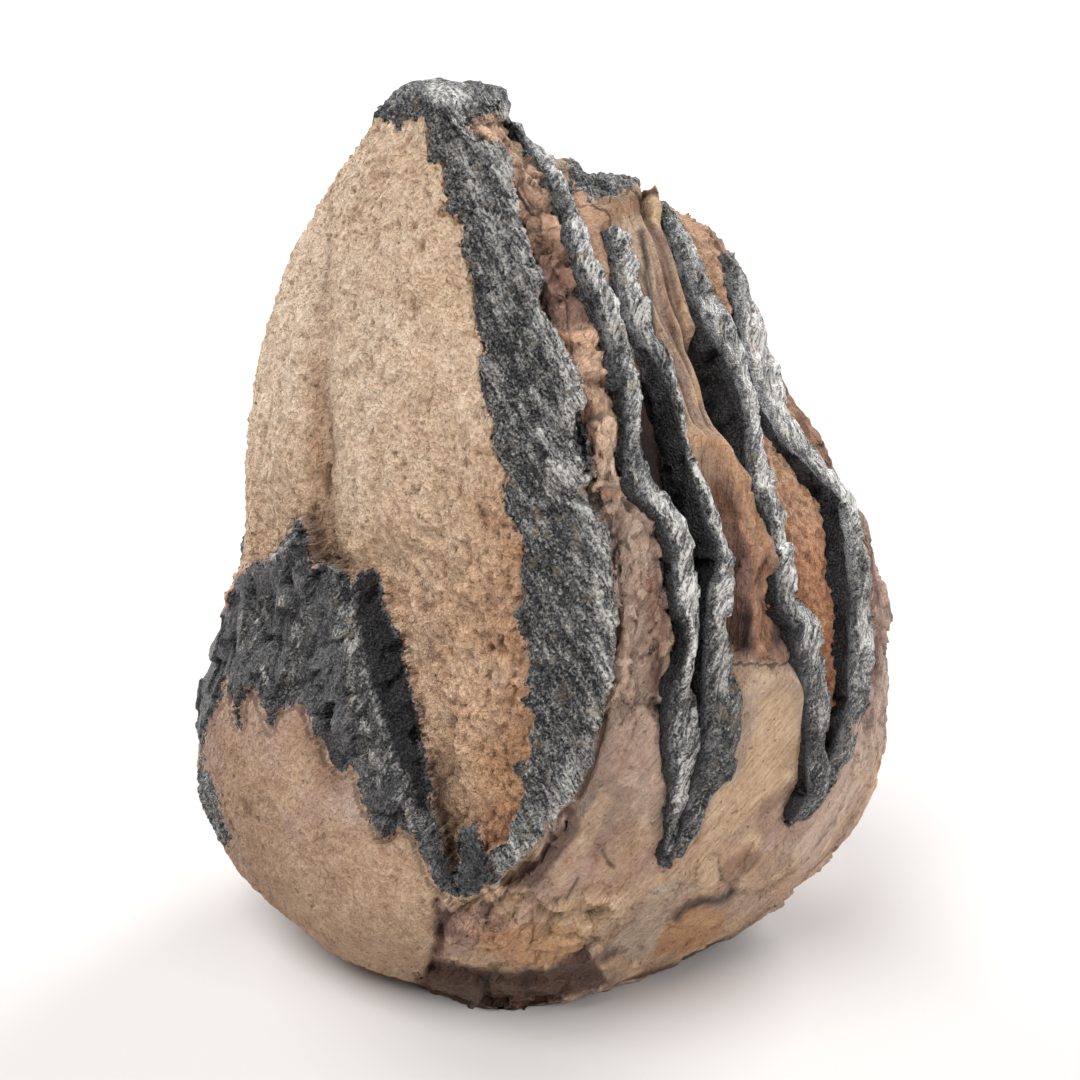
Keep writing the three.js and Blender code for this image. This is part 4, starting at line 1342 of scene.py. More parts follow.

# %% Brushed spots and flat panels
# Brushed spots of colour, some of them painted shade: (line, fade in drawing units, strength, colour).
BRUSHED = [
    ("480,120 500,126 518,138", 6, 0.8, rgb(186, 152, 124)),
    # The next three are painted shadow beside the end wall's rim and in the hollow by its lip.
    ("536,264 552,318 572,352", 5, 0.85, rgb(72, 50, 42)),
    ("588,404 592,440 594,476", 4.5, 0.85, rgb(92, 62, 50)),
    ("586,380 604,386", 4, 0.8, rgb(96, 64, 50)),
    ("548,236 566,280", 7, 0.6, rgb(124, 82, 62)),
    ("556,334 592,346", 5, 0.7, rgb(208, 164, 130)),
    ("601,494 618,492", 5, 0.7, rgb(196, 152, 124)),
    ("640,385 664,440 682,505", 10, 0.5, rgb(112, 76, 58)),
    # The next two are painted shade in the slot beside the third wall and in the hollow beside the fourth wall.
    ("642,232 648,290 652,334", 4, 0.9, rgb(40, 34, 32)),
    ("700,345 716,395 738,436", 9, 0.85, rgb(52, 38, 32)),
    ("730,392 744,428", 6, 0.6, rgb(122, 80, 56)),
    ("674,240 684,300 697,400", 4, 0.75, rgb(206, 172, 136)),
    ("660,244 672,330", 4, 0.65, rgb(116, 84, 64)),
    ("698,320 708,390", 5, 0.55, rgb(136, 98, 76)),
    ("612,212 634,206", 9, 0.75, rgb(150, 110, 80)),
    ("618,198 638,196", 5, 0.6, rgb(92, 66, 52)),
    ("654,200 657,220", 5, 0.9, rgb(218, 188, 146)),
    ("640,196 641,212", 3.5, 0.85, rgb(56, 46, 42)),
    ("696,438 722,446 744,486 766,550", 9, 0.85, rgb(194, 150, 114)),
    ("716,486 736,522", 8, 0.65, rgb(126, 88, 62)),
    ("744,545 744,600", 8, 0.75, rgb(132, 98, 86)),
    ("741,522 756,556 753,592 760,650", 2.6, 0.7, rgb(198, 146, 112)),
    ("764,566 768,600 764,650", 7, 0.7, rgb(186, 140, 108)),
    ("768,548 760,585", 3, 0.6, rgb(120, 76, 54)),
    ("746,620 747,646", 8, 0.9, rgb(58, 44, 40)),
    ("779,608 778,640", 7, 0.9, rgb(52, 40, 38)),
    ("770,676 785,700", 15, 0.7, rgb(192, 162, 134)),
    ("790,640 800,672", 4, 0.7, rgb(84, 58, 48)),
    ("760,655 792,660", 4, 0.6, rgb(132, 88, 66)),
    ("660,668 656,690", 6, 0.8, rgb(84, 52, 42)),
    ("655,706 662,712", 6, 0.85, rgb(60, 36, 32)),
    ("652,580 660,650", 8, 0.6, rgb(140, 96, 72)),
    ("632,520 634,690", 8, 0.5, rgb(200, 172, 152)),
    ("655,555 668,640", 3.5, 0.6, rgb(96, 62, 50)),
    ("872,570 876,600", 6, 0.75, rgb(104, 68, 62)),
    ("876,640 874,672", 6, 0.75, rgb(100, 66, 62)),
    ("862,508 882,556", 4, 0.6, rgb(150, 106, 84)),
    ("820,444 836,462", 8, 0.6, rgb(158, 110, 78)),
    ("887,560 892,640 886,700", 6, 0.7, rgb(210, 184, 164)),
    ("806,848 838,812 868,744", 15, 0.7, rgb(206, 180, 160)),
    ("508,884 545,856 572,812", 6, 0.8, rgb(84, 60, 52)),
    ("437,900 441,935 430,968", 4, 0.6, rgb(84, 58, 48)),
    ("478,930 530,940", 14, 0.5, rgb(184, 136, 98)),
    ("450,912 500,925", 12, 0.45, rgb(150, 118, 108)),
    ("560,930 604,880 640,840", 14, 0.5, rgb(194, 162, 128)),
    ("600,760 650,740", 22, 0.4, rgb(172, 140, 126)),
    ("730,840 770,806 790,790", 7, 0.55, rgb(146, 116, 98)),
    ("722,872 748,852", 8, 0.6, rgb(150, 112, 88)),
    ("600,938 640,905", 12, 0.4, rgb(140, 116, 100)),
    ("582,972 592,962 606,956", 7, 0.7, rgb(84, 60, 52)),
    ("484,980 494,972", 8, 0.6, rgb(54, 36, 30)),
    ("524,984 527,974", 7, 0.6, rgb(52, 36, 30)),
    ("606,960 618,950", 5, 0.6, rgb(80, 58, 50)),
    ("640,946 642,948", 4, 0.6, rgb(60, 48, 46)),
    ("604,946 606,948", 4, 0.6, rgb(90, 78, 74)),
]

# The same on the root below the patch. The first, down the root's lower left side, is painted shade.
ROOT_SPOTS = [
    ("215,730 262,890", 26, 0.35, CEMENT_BROWN),
    ("316,738 330,786", 13, 0.6, CEMENT_BROWN),
    ("344,806 356,818", 14, 0.7, rgb(186, 160, 148)),
    ("243,800 249,812", 5, 0.7, DIRT_AND_SHADE),
]
# Flats and breaks of the lower cement: (outline, strength, colour).
PANELS = [
    ("590,835 625,822 660,836 662,868 640,884 604,900 588,880", 0.55, rgb(156, 122, 106)),
    ("601,955 629,920 654,886 680,878 702,884 676,902 662,940 640,962", 0.8, rgb(168, 147, 127)),
    ("478,944 500,930 545,924 578,930 588,944 546,968 512,968", 0.8, rgb(194, 148, 108)),
    ("430,900 462,906 484,930 474,950 440,960 432,930", 0.6, rgb(158, 126, 112)),
    ("430,918 444,914 462,930 458,940 440,936", 0.6, rgb(108, 70, 60)),
    ("556,962 572,953 591,943 587,962 571,976 559,973", 0.9, rgb(76, 50, 42)),
    ("762,800 790,784 800,800 791,826 768,844 756,830", 0.65, rgb(158, 128, 112)),
    ("716,881 727,862 745,852 761,851 751,869 735,881", 0.7, rgb(136, 106, 90)),
    ("760,846 800,812 850,772 866,792 826,842 776,872", 0.5, rgb(176, 146, 130)),
    ("724,900 748,884 774,896 764,916 740,920", 0.6, rgb(164, 136, 118)),
    ("513,888 532,868 552,842 572,822 580,832 560,858 536,886", 0.8, rgb(88, 62, 54)),
    ("563,810 574,806 584,822 580,836 566,836", 0.8, rgb(112, 92, 80)),
    ("574,836 600,790 612,800 590,850 560,890 548,884", 0.5, rgb(196, 164, 134)),
]



def brush(colour, x, y, spots, share):
    """Soft strokes of colour, where the share is above nothing."""
    for line, fade, strength, tone in spots:
        colour = paint(colour, strength * share * near_line(x, y, line, fade), tone)
    return colour


print(len(BRUSHED) + len(ROOT_SPOTS), "brushed spots and", len(PANELS), "panels")

# %% Colour of the cement
BROKEN_CORNER = "450,912 530,925 600,930"


def fill_ground(points, masks, y, cloud, blotch):
    """The ground colour of the flank, layer by layer, each chip of cement a little unlike the next."""
    layer = masks["layer"]
    colour = np.tile(CEMENT_TAN, (len(points), 1))
    colour = paint(colour, smoothstep(cloud, -0.1, 0.4), CEMENT_PINK)
    high = smoothstep(points[:, 2], *FLANK_FOOT)
    fill = fill_colour(layer, y)
    cement_layer = (layer == 0) | (layer >= 4)
    fill = fill * (1 + 0.28 * blotch + 0.2 * cement_layer * snap_height)[:, None]
    colour = paint(colour, high, fill)
    from_second_wall = points[:, 0] - masks["places"][1]
    # The gap beside the third wall is painted near-black as shade.
    gap_shade = (layer == 1) * smoothstep(from_second_wall, 1.6, 3.2) * smoothstep(y, 350, 420)
    colour = paint(colour, high * gap_shade * 0.9, rgb(34, 28, 26))
    stripes = fractal_noise(plank_places(points, masks), 1.4, 3, COLUMNS_SEED)
    striped = high * (layer == 2) * (1 - smoothstep(y, 430, 470))
    colour = paint(colour, striped * smoothstep(stripes, 0.0, 0.3) * 0.7, rgb(194, 166, 138))
    return paint(colour, striped * smoothstep(-stripes, 0.0, 0.3) * 0.8, rgb(98, 72, 56))


def lower_cement(colour, points, masks, x, y):
    """The worn lower cement, streaked along its facets, with its broken corner, its notch and the stub."""
    seen = masks["seen"]
    low = (1 - smoothstep(points[:, 2], 18, 26)) * masks["flank"]
    streak = fractal_noise(turned(points, FACET_DIRECTION), np.array([2.0, 2.0, 14.0]), 3, 24)
    colour = paint(colour, low * smoothstep(streak, 0.0, 0.35) * 0.8, CEMENT_CREAM)
    colour = paint(colour, low * smoothstep(-streak, 0.1, 0.5) * 0.7, CEMENT_PINK * 0.9)
    colour = colour * (1 + 0.3 * low * fractal_noise(points, 1.8, 3, 54))[:, None]
    cream = smoothstep(outline_distance(x, y, CREAM_FACET), -3, 5) * seen
    colour = paint(colour, cream * 0.85, CEMENT_CREAM)
    for outline, strength, tone in PANELS:
        share = smoothstep(outline_distance(x, y, outline), -3, 2.5) * seen * masks["flank"]
        colour = paint(colour, share * strength, tone * 1.06)
    corner = near_line(x, y, BROKEN_CORNER, 26) * seen
    colour = colour * (1 + 0.35 * corner * broken_noise(points, 2.1, CORNER_SEED, 1.1)[0])[:, None]
    brown_lump = smoothstep(outline_distance(x, y, BROWN_LUMP), -2, 3) * seen
    colour = paint(colour, brown_lump, rgb(178, 134, 96))
    # The notch's black crescent is painted shadow under its overhang.
    colour = paint(colour, 0.93 * seen * near_line(x, y, NOTCH, 5.5), CEMENT_SHADOW * 0.4)
    # The stub and underside are dark brown: partly their own colour, partly painted shade under the tooth.
    colour = paint(colour, smoothstep(outline_distance(x, y, STUB), -2, 4) * seen, STUB_BROWN)
    under = (1 - smoothstep(points[:, 2], 2.0, 8.0)) * (1 - seen)
    return paint(colour, under, STUB_BROWN)


print("lower cement is streaked along", FACET_DIRECTION.round(2))

# %% Colour of the bare face and of the root
def face_ground(points, masks, x, y, cloud, blotch):
    """The bare face: pale at the top left, warm beside the end wall, with dirt and painted shade in the
    groove, painted shadow above the patch and painted shade at its foot.
    """
    seen = masks["seen"]
    face = paint(np.tile(DENTINE, (len(points), 1)), smoothstep(cloud, -0.3, 0.5) * 0.5, DENTINE_PALE)
    lower = smoothstep(y, 470, 640) * seen
    face = paint(face, lower * (0.55 + 0.35 * blotch), DENTINE_WARM)
    warm = near_line(x, y, END_WALL_LEFT, 3.6 * UNITS_PER_MM) * smoothstep(y, 380, 540) * seen
    face = paint(face, np.clip(warm * (0.8 + 0.5 * blotch), 0, 1), DENTINE_ORANGE * 0.93)
    face = paint(face, 0.6 * seen * near_line(x, y, "300,230 272,400", 32), DENTINE_PALE)
    # (line, fade in drawing units, even share, share of the blotches, colour)
    for line, fade, even, blotchy, tone in (
        # The groove's brown band and dark line are partly stain and dirt, partly painted shade. The third entry
        # is painted shadow above the patch, and the last is painted shade in the sunk foot beside the strip.
        ("320,350 317,450 322,540", 12, 0.5, 0.5, DENTINE_WARM * 0.72),
        (GROOVE[1:-1], 3.5, 0.25, 0.9, DIRT_AND_SHADE),
        ("312,522 322,556 346,562", 11, 0.8, 0.0, DIRT_AND_SHADE * 0.6),
        ("432,770 452,880", 20, 0.9, 0.4, DIRT_AND_SHADE * 0.4),
    ):
        share = near_line(x, y, line, fade) * seen * (even + blotchy * blotch)
        face = paint(face, np.clip(share, 0, 1), tone)
    spots = smoothstep(smooth_noise(points, 1.5, 27), 0.5, 0.8) * smoothstep(cloud, -0.2, 0.4)
    face = paint(face, spots * (0.35 + 0.4 * lower), DIRT_AND_SHADE)
    return face * (1 + (0.1 + 0.25 * lower) * fractal_noise(points, 1.8, 3, 55))[:, None]


def stain(points, masks, x, y):
    """The ground colour of every point."""
    x = x + 3.0 * fractal_noise(points, 1.2, 2, 20)
    y = y + 3.0 * fractal_noise(points, 1.2, 2, 21)
    cloud = fractal_noise(points, 7.0, 3, 22)
    blotch = fractal_noise(points, 3.0, 3, 23)
    colour = fill_ground(points, masks, y, cloud, blotch)
    colour = lower_cement(colour, points, masks, x, y)
    colour = paint(colour, masks["bare"], face_ground(points, masks, x, y, cloud, blotch))
    root = paint(np.tile(ROOT_TAN, (len(points), 1)), smoothstep(cloud, -0.1, 0.4), ROOT_PINK)
    root = paint(root, smoothstep(blotch, 0.1, 0.6) * 0.5, CEMENT_CREAM * 0.9)
    root = brush(root, x, y, ROOT_SPOTS, masks["seen"])
    colour = paint(colour, masks["lump"], root)
    return brush(colour, x, y, BRUSHED, masks["seen"])


print("the face goes from", DENTINE_PALE.round(2), "to", DENTINE_ORANGE.round(2))

# %% How pale the enamel is
# Scratches, pale spots and painted highlights on edges: (line, fade in drawing units, share of pale enamel).
PALE_STROKES = [
    ("432,92 456,95 462,118 476,134", 7, 0.9),
    ("462,120 480,140 500,178", 7, 0.5),
    ("540,300 566,352", 9, 0.6),
    ("570,400 588,460", 10, 0.6),
    ("556,490 600,520", 12, 0.6),
    ("492,884 520,868 566,812", 5, 1.0),
    ("545,430 560,470 582,482", 9, 0.85),
    ("593,440 596,474", 3, 1.0),
    ("455,150 480,200 505,270", 9, 0.5),
    (STRIP_LEFT[:9], 4.5, 0.42),
    ("334,565 336,569", 5, 1.2),
    ("262,560 285,548 298,524", 7, 0.45),
    ("255,612 257,622", 4, 0.9),
    ("263,668 266,682", 4, 0.9),
    ("378,714 380,722", 3, 0.9),
    ("402,800 412,830", 6, 0.5),
    ("341,590 352,680 378,780", 9, 0.4),
    ("250,640 268,600", 9, 0.3),
    ("290,690 300,620", 9, 0.3),
]
# The hollow by the end wall's lip is painted black as shade: (line, fade in drawing units).
SHADED_HOLLOW = ("582,420 586,468", 5)


def pale_share(points, masks, x, y):
    """How pale the enamel is, from 0 to 1: scratches, and painted highlight along the worn rim.
    Below nothing it is slate, and at -1 black, which in the hollow by the lip is painted shade.
    """
    crest = near_line(x, y, END_WALL_RIGHT[4:], 22)
    fibres = fractal_noise(turned(points, FIBRE_DIRECTION), np.array([1.6, 1.6, 6.0]), 2, 28)
    cloud = smoothstep(fibres, -0.3, 0.4)
    pale = crest * (0.42 + 0.4 * cloud) + (1 - crest) * (0.12 + 0.16 * cloud)
    on_patch = smoothstep(outline_distance(x, y, PATCH), -2, 2)
    slate = 0.42 - 0.2 * plate_height + 0.5 * (1 - smoothstep(plate_crack, 0.0, 0.12))
    pale = pale * (1 - on_patch) - slate * on_patch
    for line, fade, amount in PALE_STROKES:
        pale = pale + near_line(x, y, line, fade) * np.maximum(amount - pale, 0)
    black = smoothstep(outline_distance(x, y, STRIP), 1, 4)
    black = np.maximum(black, near_line(x, y, *SHADED_HOLLOW))
    black = np.maximum(black, 0.7 * smoothstep(outline_distance(x, y, SPLINTER), -2, 2))
    pale = pale * (1 - black) - black
    return masks["seen"] * pale + (1 - masks["seen"]) * 0.2


print(len(PALE_STROKES), "pale strokes on the enamel")

# %% Where dirt and painted shade lie
# (line, fade in drawing units, share of dark). The thin lines are cracks with dirt. The broad lines
# beside the third wall and the short one near its top are painted shade.
DARK_CRACKS_AND_SHADE = [
    ("662,520 690,560 706,640 704,700", 12, 1.0),
    ("704,700 722,715", 13, 1.0),
    ("602,850 608,862 614,867", 1.6, 0.9),
    ("566,899 578,878", 1.5, 0.8),
    ("642,300 646,325", 5, 0.9),
]


def dirt_and_shade(points, masks, x, y):
    """How dark the ground is made, from 0 to 1: dirt in cracks, and painted shade in the gap
    between the second and third walls and in the slot beside the third.
    """
    split = (1 - smoothstep(snap_crack, 0.0, 0.14)) * smoothstep(smooth_noise(points, 3.0, 29), -0.3, 0.4)
    cement_layer = (masks["layer"] == 0) | (masks["layer"] >= 4)
    dark_share = 0.8 * split * masks["flank"] * cement_layer * smoothstep(points[:, 2], 18, 26)
    dark_share = dark_share * (1 - 0.85 * masks["seen"] * smoothstep(y, 640, 700))
    dark_share = np.maximum(dark_share, 0.35 * veins(points, 0.03) * np.maximum(masks["flank"], 0.5 * masks["lump"]))
    for line, fade, amount in DARK_CRACKS_AND_SHADE:
        dark_share = np.maximum(dark_share, amount * near_line(x, y, line, fade) * masks["seen"] * masks["flank"])
    # The gap between the second and third walls is painted dark as shade.
    in_gap = smoothstep(y, 500, 560) * (1 - smoothstep(y, 800, 850))
    deep_gap_shade = masks["seen"] * masks["flank"] * (masks["layer"] == 1) * in_gap
    return np.clip(np.maximum(dark_share, deep_gap_shade), 0, 1)


print(len(DARK_CRACKS_AND_SHADE), "dirty cracks")

# %% Paint the body
def where_near(chosen, make):
    """Heights and cracks of a broken noise at the chosen points, and nothing at the others."""
    height, crack = np.zeros(len(relieved)), np.ones(len(relieved))
    height[chosen], crack[chosen] = make(relieved[chosen])
    return height, crack


snap_height, snap_crack = where_near(masks["flank"] > 0.001, snapped)
plate_height, plate_crack = where_near(outline_distance(drawn_x, drawn_y, PATCH) > -6, plates)
final_x, final_y = on_drawing(final_points)
edge_x, edge_y = np.where(on_face, final_x, x), np.where(on_face, final_y, y)
shown = tissues(body_points_mm, body_outward, edge_x, edge_y)
ground = stain(final_points, shown, final_x, final_y)
sandy = shown["bare"] + shown["flank"] * (shown["layer"] == 3) + 0.4 * shown["lump"]
attributes = {
    "EnamelEdge": shown["edge"],
    "Pale": pale_share(final_points, shown, edge_x, edge_y),
    "DirtAndShade": dirt_and_shade(final_points, shown, final_x, final_y),
    "Sandy": np.clip(sandy, 0, 1),
    "Polish": np.clip((1 - smoothstep(final_points[:, 2], 16, 26)) * shown["flank"], 0, 1),
}
# The side of the core's gap is enamel too: the slate that lines the foot between the second and third walls.
lining = shown["seen"] * shown["flank"] * (shown["layer"] == 1)
lining = lining * smoothstep(final_y, 700, 730) * (final_y < 862)
attributes["EnamelEdge"] = np.where(lining > 0.5, 1.0, attributes["EnamelEdge"])
print("mean ground colour:", ground.mean(axis=0).round(3))

# %% Direction of the grain
on_patch = outline_distance(edge_x, edge_y, PATCH) > -4
patch_grain, fibre_grain, wall_grain, facet_grain = (
    turned(final_points, direction)
    for direction in (PATCH_DIRECTION, FIBRE_DIRECTION, WALL_DIRECTION, FACET_DIRECTION)
)
grain = np.where(on_patch[:, None], patch_grain, fibre_grain)
# Away from the enamel the grain is the ground's: upright between the walls and slanted on the worn flats.
CHIPS_END = 664  # drawing units down to the end of the upright chips between the third and fourth walls
upright = (shown["layer"] == 2) & (final_y + 6 * smooth_noise(final_points, 3.0, 77) < CHIPS_END)
own_grain = np.where(upright[:, None], wall_grain, facet_grain)
grain = np.where((shown["edge"] < -0.6)[:, None], own_grain, grain)
print(f"upright grain on {100 * upright.mean():.0f}% of the points")

# %% Put the body together
# The body is made as five meshes, so that none of them grows too heavy. They share the rows of
# points along their borders and the directions in which those points face, so that no seam shows.
final_points[:, 2] = np.maximum(final_points[:, 2], 0.0)
body_mesh.vertices.foreach_set("co", (final_points * MM).reshape(-1))
body_mesh.update()
_, final_outward = mesh_arrays(body_mesh)
final_outward = calmed(final_outward, body_points_mm)
corners = [np.array(p.vertices) for p in body_mesh.polygons]
on_end = (shown["places"][0] - 0.5 > body_points_mm[:, 0]) | (np.maximum(shown["bare"], shown["lump"]) > 0.5)
behind = 2 + (shown["layer"] > 0) + (shown["layer"] > 2)
part_of_point = np.where(shown["edge"] > 0, 0, np.where(on_end, 1, behind))
PART_NAMES = (
    "end_wall_enamel_face",
    "bare_dentine_and_root",
    "cement_behind_end_wall",
    "core_and_cement_between_walls",
    "outer_core_and_cement",
)
part_of_face = np.array([part_of_point[c[0]] for c in corners])
body_pieces = []
for number, name in enumerate(PART_NAMES):
    chosen = [corners[k] for k in np.flatnonzero(part_of_face == number)]
    used = np.unique(np.concatenate(chosen))
    renumber = np.full(len(final_points), -1)
    renumber[used] = np.arange(len(used))
    mesh = bpy.data.meshes.new(name)
    mesh.from_pydata((final_points[used] * MM).tolist(), [], [renumber[c].tolist() for c in chosen])
    mesh.polygons.foreach_set("use_smooth", [True] * len(mesh.polygons))
    for label, values in attributes.items():
        kept = mesh.attributes.new(label, "FLOAT", "POINT")
        kept.data.foreach_set("value", values[used].astype(np.float32))
    kept = mesh.attributes.new("Grain", "FLOAT_VECTOR", "POINT")
    kept.data.foreach_set("vector", (grain[used] * MM).astype(np.float32).reshape(-1))
    tint = mesh.attributes.new("Stain", "FLOAT_COLOR", "POINT")
    solid_ground = np.column_stack([ground[used], np.ones(len(used))])
    tint.data.foreach_set("color", solid_ground.astype(np.float32).reshape(-1))
    mesh.update()
    mesh.normals_split_custom_set_from_vertices(final_outward[used].tolist())
    piece = bpy.data.objects.new(name, mesh)
    scene.collection.objects.link(piece)
    body_pieces.append(piece)
    print(f"{name}: {sum(len(c) - 2 for c in chosen)} triangles")

# %% [markdown]
# ## Materials
#
# One shader group makes the enamel wherever it shows, so that the ribs, the end wall's rim and the patch
# can't drift apart. It is dark slate with fine pale fibres, brighter along the worn crests, where the pale is
# partly painted highlight, and black where painted shade lies in a hollow or on a rib's bare side. It shines
# more than the tissues around it. The ground material takes the stain from the points, adds sand and pits,
# and lets the enamel in where the edge distance is positive.

# %% Node helpers
def node(tree, kind, inputs=None, **settings):
    made = tree.nodes.new(kind)
    for key, value in settings.items():
        setattr(made, key, value)
    for key, value in (inputs or {}).items():
        socket = made.inputs[key]
        if isinstance(value, bpy.types.NodeSocket):
            tree.links.new(value, socket)
        else:
            socket.default_value = value
    return made


def maths(tree, operation, a, b=0.0):
    return node(tree, "ShaderNodeMath", {0: a, 1: b}, operation=operation).outputs[0]


def plus(tree, a, b):
    return maths(tree, "ADD", a, b)


def times(tree, a, b):
    return maths(tree, "MULTIPLY", a, b)


def swing(tree, noise, gain):
    """A noise turned from 0 to 1 into a swing about nothing."""
    return times(tree, maths(tree, "SUBTRACT", noise, 0.5), gain)


def attribute(tree, name, output="Fac"):
    return node(tree, "ShaderNodeAttribute", attribute_name=name).outputs[output]


def object_place(tree):
    return node(tree, "ShaderNodeTexCoord").outputs["Object"]


def new_material(name):
    """A material with its node tree and its shader."""
    material = bpy.data.materials.new(name)
    material.use_nodes = True
    return material, material.node_tree, material.node_tree.nodes["Principled BSDF"]


print("helpers for nodes are ready")

# %% Helpers for texture and colour
def remap(tree, value, low, high, to_low=0.0, to_high=1.0):
    made = node(
        tree,
        "ShaderNodeMapRange",
        {"Value": value, "From Min": low, "From Max": high, "To Min": to_low, "To Max": to_high},
        interpolation_type="SMOOTHSTEP",
    )
    return made.outputs["Result"]


def mix(tree, share, a, b):
    """Two colours mixed by a share."""
    made = node(tree, "ShaderNodeMix", {0: share}, data_type="RGBA")
    for index, value in ((6, a), (7, b)):
        if isinstance(value, bpy.types.NodeSocket):
            tree.links.new(value, made.inputs[index])
        else:
            made.inputs[index].default_value = (*value, 1.0)
    return made.outputs[2]


def mix_values(tree, share, a, b):
    return node(tree, "ShaderNodeMix", {0: share, 2: a, 3: b}).outputs[0]


def tone_steps(tree, value, colour, steps):
    """A colour that changes as the value passes each step: (low, high, next colour)."""
    for low, high, tone in steps:
        colour = mix(tree, remap(tree, value, low, high), colour, tone)
    return colour


def noise_texture(tree, vector, size_mm, detail=3.0, roughness=0.55, distortion=0.0):
    inputs = {"Vector": vector, "Scale": 1 / (size_mm * MM), "Detail": detail}
    inputs.update({"Roughness": roughness, "Distortion": distortion})
    return node(tree, "ShaderNodeTexNoise", inputs).outputs["Fac"]


def stretched(tree, vector, share):
    """A place whose last axis is squeezed, so that a noise on it comes out long."""
    made = node(tree, "ShaderNodeVectorMath", {0: vector, 1: (1.0, 1.0, share)}, operation="MULTIPLY")
    return made.outputs["Vector"]


def shade_with(tree, shader, colour, roughness, height, distance_mm):
    """Joins colour, roughness and a bump to a shader."""
    bump = node(tree, "ShaderNodeBump", {"Height": height, "Strength": 1.0, "Distance": distance_mm * MM})
    for name, value in (("Base Color", colour), ("Roughness", roughness), ("Normal", bump.outputs["Normal"])):
        tree.links.new(value, shader.inputs[name])


print("a grain of 1 mm has the noise scale", round(1 / MM))

# %% The enamel group
enamel_group = bpy.data.node_groups.new("fossil enamel", "ShaderNodeTree")
for name, way, kind in (
    ("Pale", "INPUT", "NodeSocketFloat"),
    ("Color", "OUTPUT", "NodeSocketColor"),
    ("Roughness", "OUTPUT", "NodeSocketFloat"),
    ("Height", "OUTPUT", "NodeSocketFloat"),
):
    enamel_group.interface.new_socket(name, in_out=way, socket_type=kind)
g = enamel_group
pale_input = node(g, "NodeGroupInput").outputs["Pale"]
place = object_place(g)
grain_place = attribute(g, "Grain", "Vector")
grit = noise_texture(g, place, 0.27, 2.0, 0.65)
fibres = noise_texture(g, stretched(g, grain_place, 0.16), 0.27, 3.0, 0.65, 0.8)
strands = noise_texture(g, stretched(g, grain_place, 0.25), 1.0, 2.0, 0.6, 1.2)
patches = noise_texture(g, place, 2.4, 3.0, 0.6)
drift = plus(g, swing(g, patches, 0.16), swing(g, strands, 0.34))


def grit_and_fibres(grit_share, fibre_share):
    return plus(g, plus(g, times(g, grit, grit_share), times(g, fibres, fibre_share)), drift)


dark_steps = [
    (0.4, 0.49, rgb(56, 57, 60)),
    (0.49, 0.56, rgb(116, 115, 112)),
    (0.57, 0.68, rgb(200, 195, 186)),
]
dark = tone_steps(g, grit_and_fibres(0.6, 0.4), rgb(14, 15, 19), dark_steps)
pale_steps = [(0.38, 0.47, rgb(138, 137, 135)), (0.47, 0.57, rgb(224, 222, 216))]
pale = tone_steps(g, grit_and_fibres(0.35, 0.65), rgb(38, 39, 42), pale_steps)
slate = tone_steps(g, grit_and_fibres(0.45, 0.55), rgb(30, 30, 34), [(0.4, 0.64, rgb(122, 121, 122))])
black = tone_steps(g, grit, rgb(13, 13, 15), [(0.5, 0.66, rgb(62, 62, 66))])
print("enamel tones: dark, pale, slate and black")

# %% What the enamel group gives
scratches_and_highlights = remap(g, plus(g, pale_input, times(g, drift, 1.6)), 0.1, 0.9)
shade = mix(g, scratches_and_highlights, dark, pale)
dust = times(g, remap(g, noise_texture(g, place, 1.6, 3.0, 0.6), 0.58, 0.68), 0.35)
shade = mix(g, dust, shade, rgb(150, 132, 104))
# Below nothing the share of pale scratches and highlights asks for plain slate, and then for black, which
# stands partly for painted shade.
below = times(g, pale_input, -1.0)
shade = mix(g, remap(g, below, 0.0, 0.35), shade, slate)
shade = mix(g, remap(g, below, 0.5, 0.95), shade, black)
group_out = node(g, "NodeGroupOutput")
g.links.new(shade, group_out.inputs["Color"])
g.links.new(remap(g, grit, 0.4, 0.6, 0.22, 0.46), group_out.inputs["Roughness"])
g.links.new(mix_values(g, scratches_and_highlights, grit, fibres), group_out.inputs["Height"])
print("enamel group:", len(g.nodes), "nodes")

# %% Enamel of the ribs
enamel, tree, shader = new_material("fossil enamel")
enamel_nodes = node(tree, "ShaderNodeGroup", node_tree=enamel_group)
tree.links.new(attribute(tree, "Pale"), enamel_nodes.inputs["Pale"])
shade_with(tree, shader, *(enamel_nodes.outputs[name] for name in ("Color", "Roughness", "Height")), 0.6)
for rib in ribs:
    rib.data.materials.append(enamel)
print("enamel of the ribs uses", len(tree.nodes), "nodes")

# %% Dentine and cement
ground_material, tree, shader = new_material("fossil dentine and cement")
place = object_place(tree)
sandy_share = attribute(tree, "Sandy")
sand = noise_texture(tree, stretched(tree, place, 0.7), 0.34, 2.0, 0.6)
mottle = noise_texture(tree, place, 2.4, 4.0, 0.6)
speck = noise_texture(tree, place, 0.8, 3.0, 0.6)
# Fine streaks run along the grain of the cement.
streak = noise_texture(tree, stretched(tree, attribute(tree, "Grain", "Vector"), 0.14), 0.42, 3.0, 0.65, 0.6)
streaks = swing(tree, streak, maths(tree, "SUBTRACT", 1.0, sandy_share))
tone = swing(tree, sand, plus(tree, times(tree, sandy_share, 0.45), 0.55))
tone = plus(tree, tone, swing(tree, mottle, 0.7))
tone = plus(tree, plus(tree, tone, times(tree, streaks, 0.75)), 1.0)
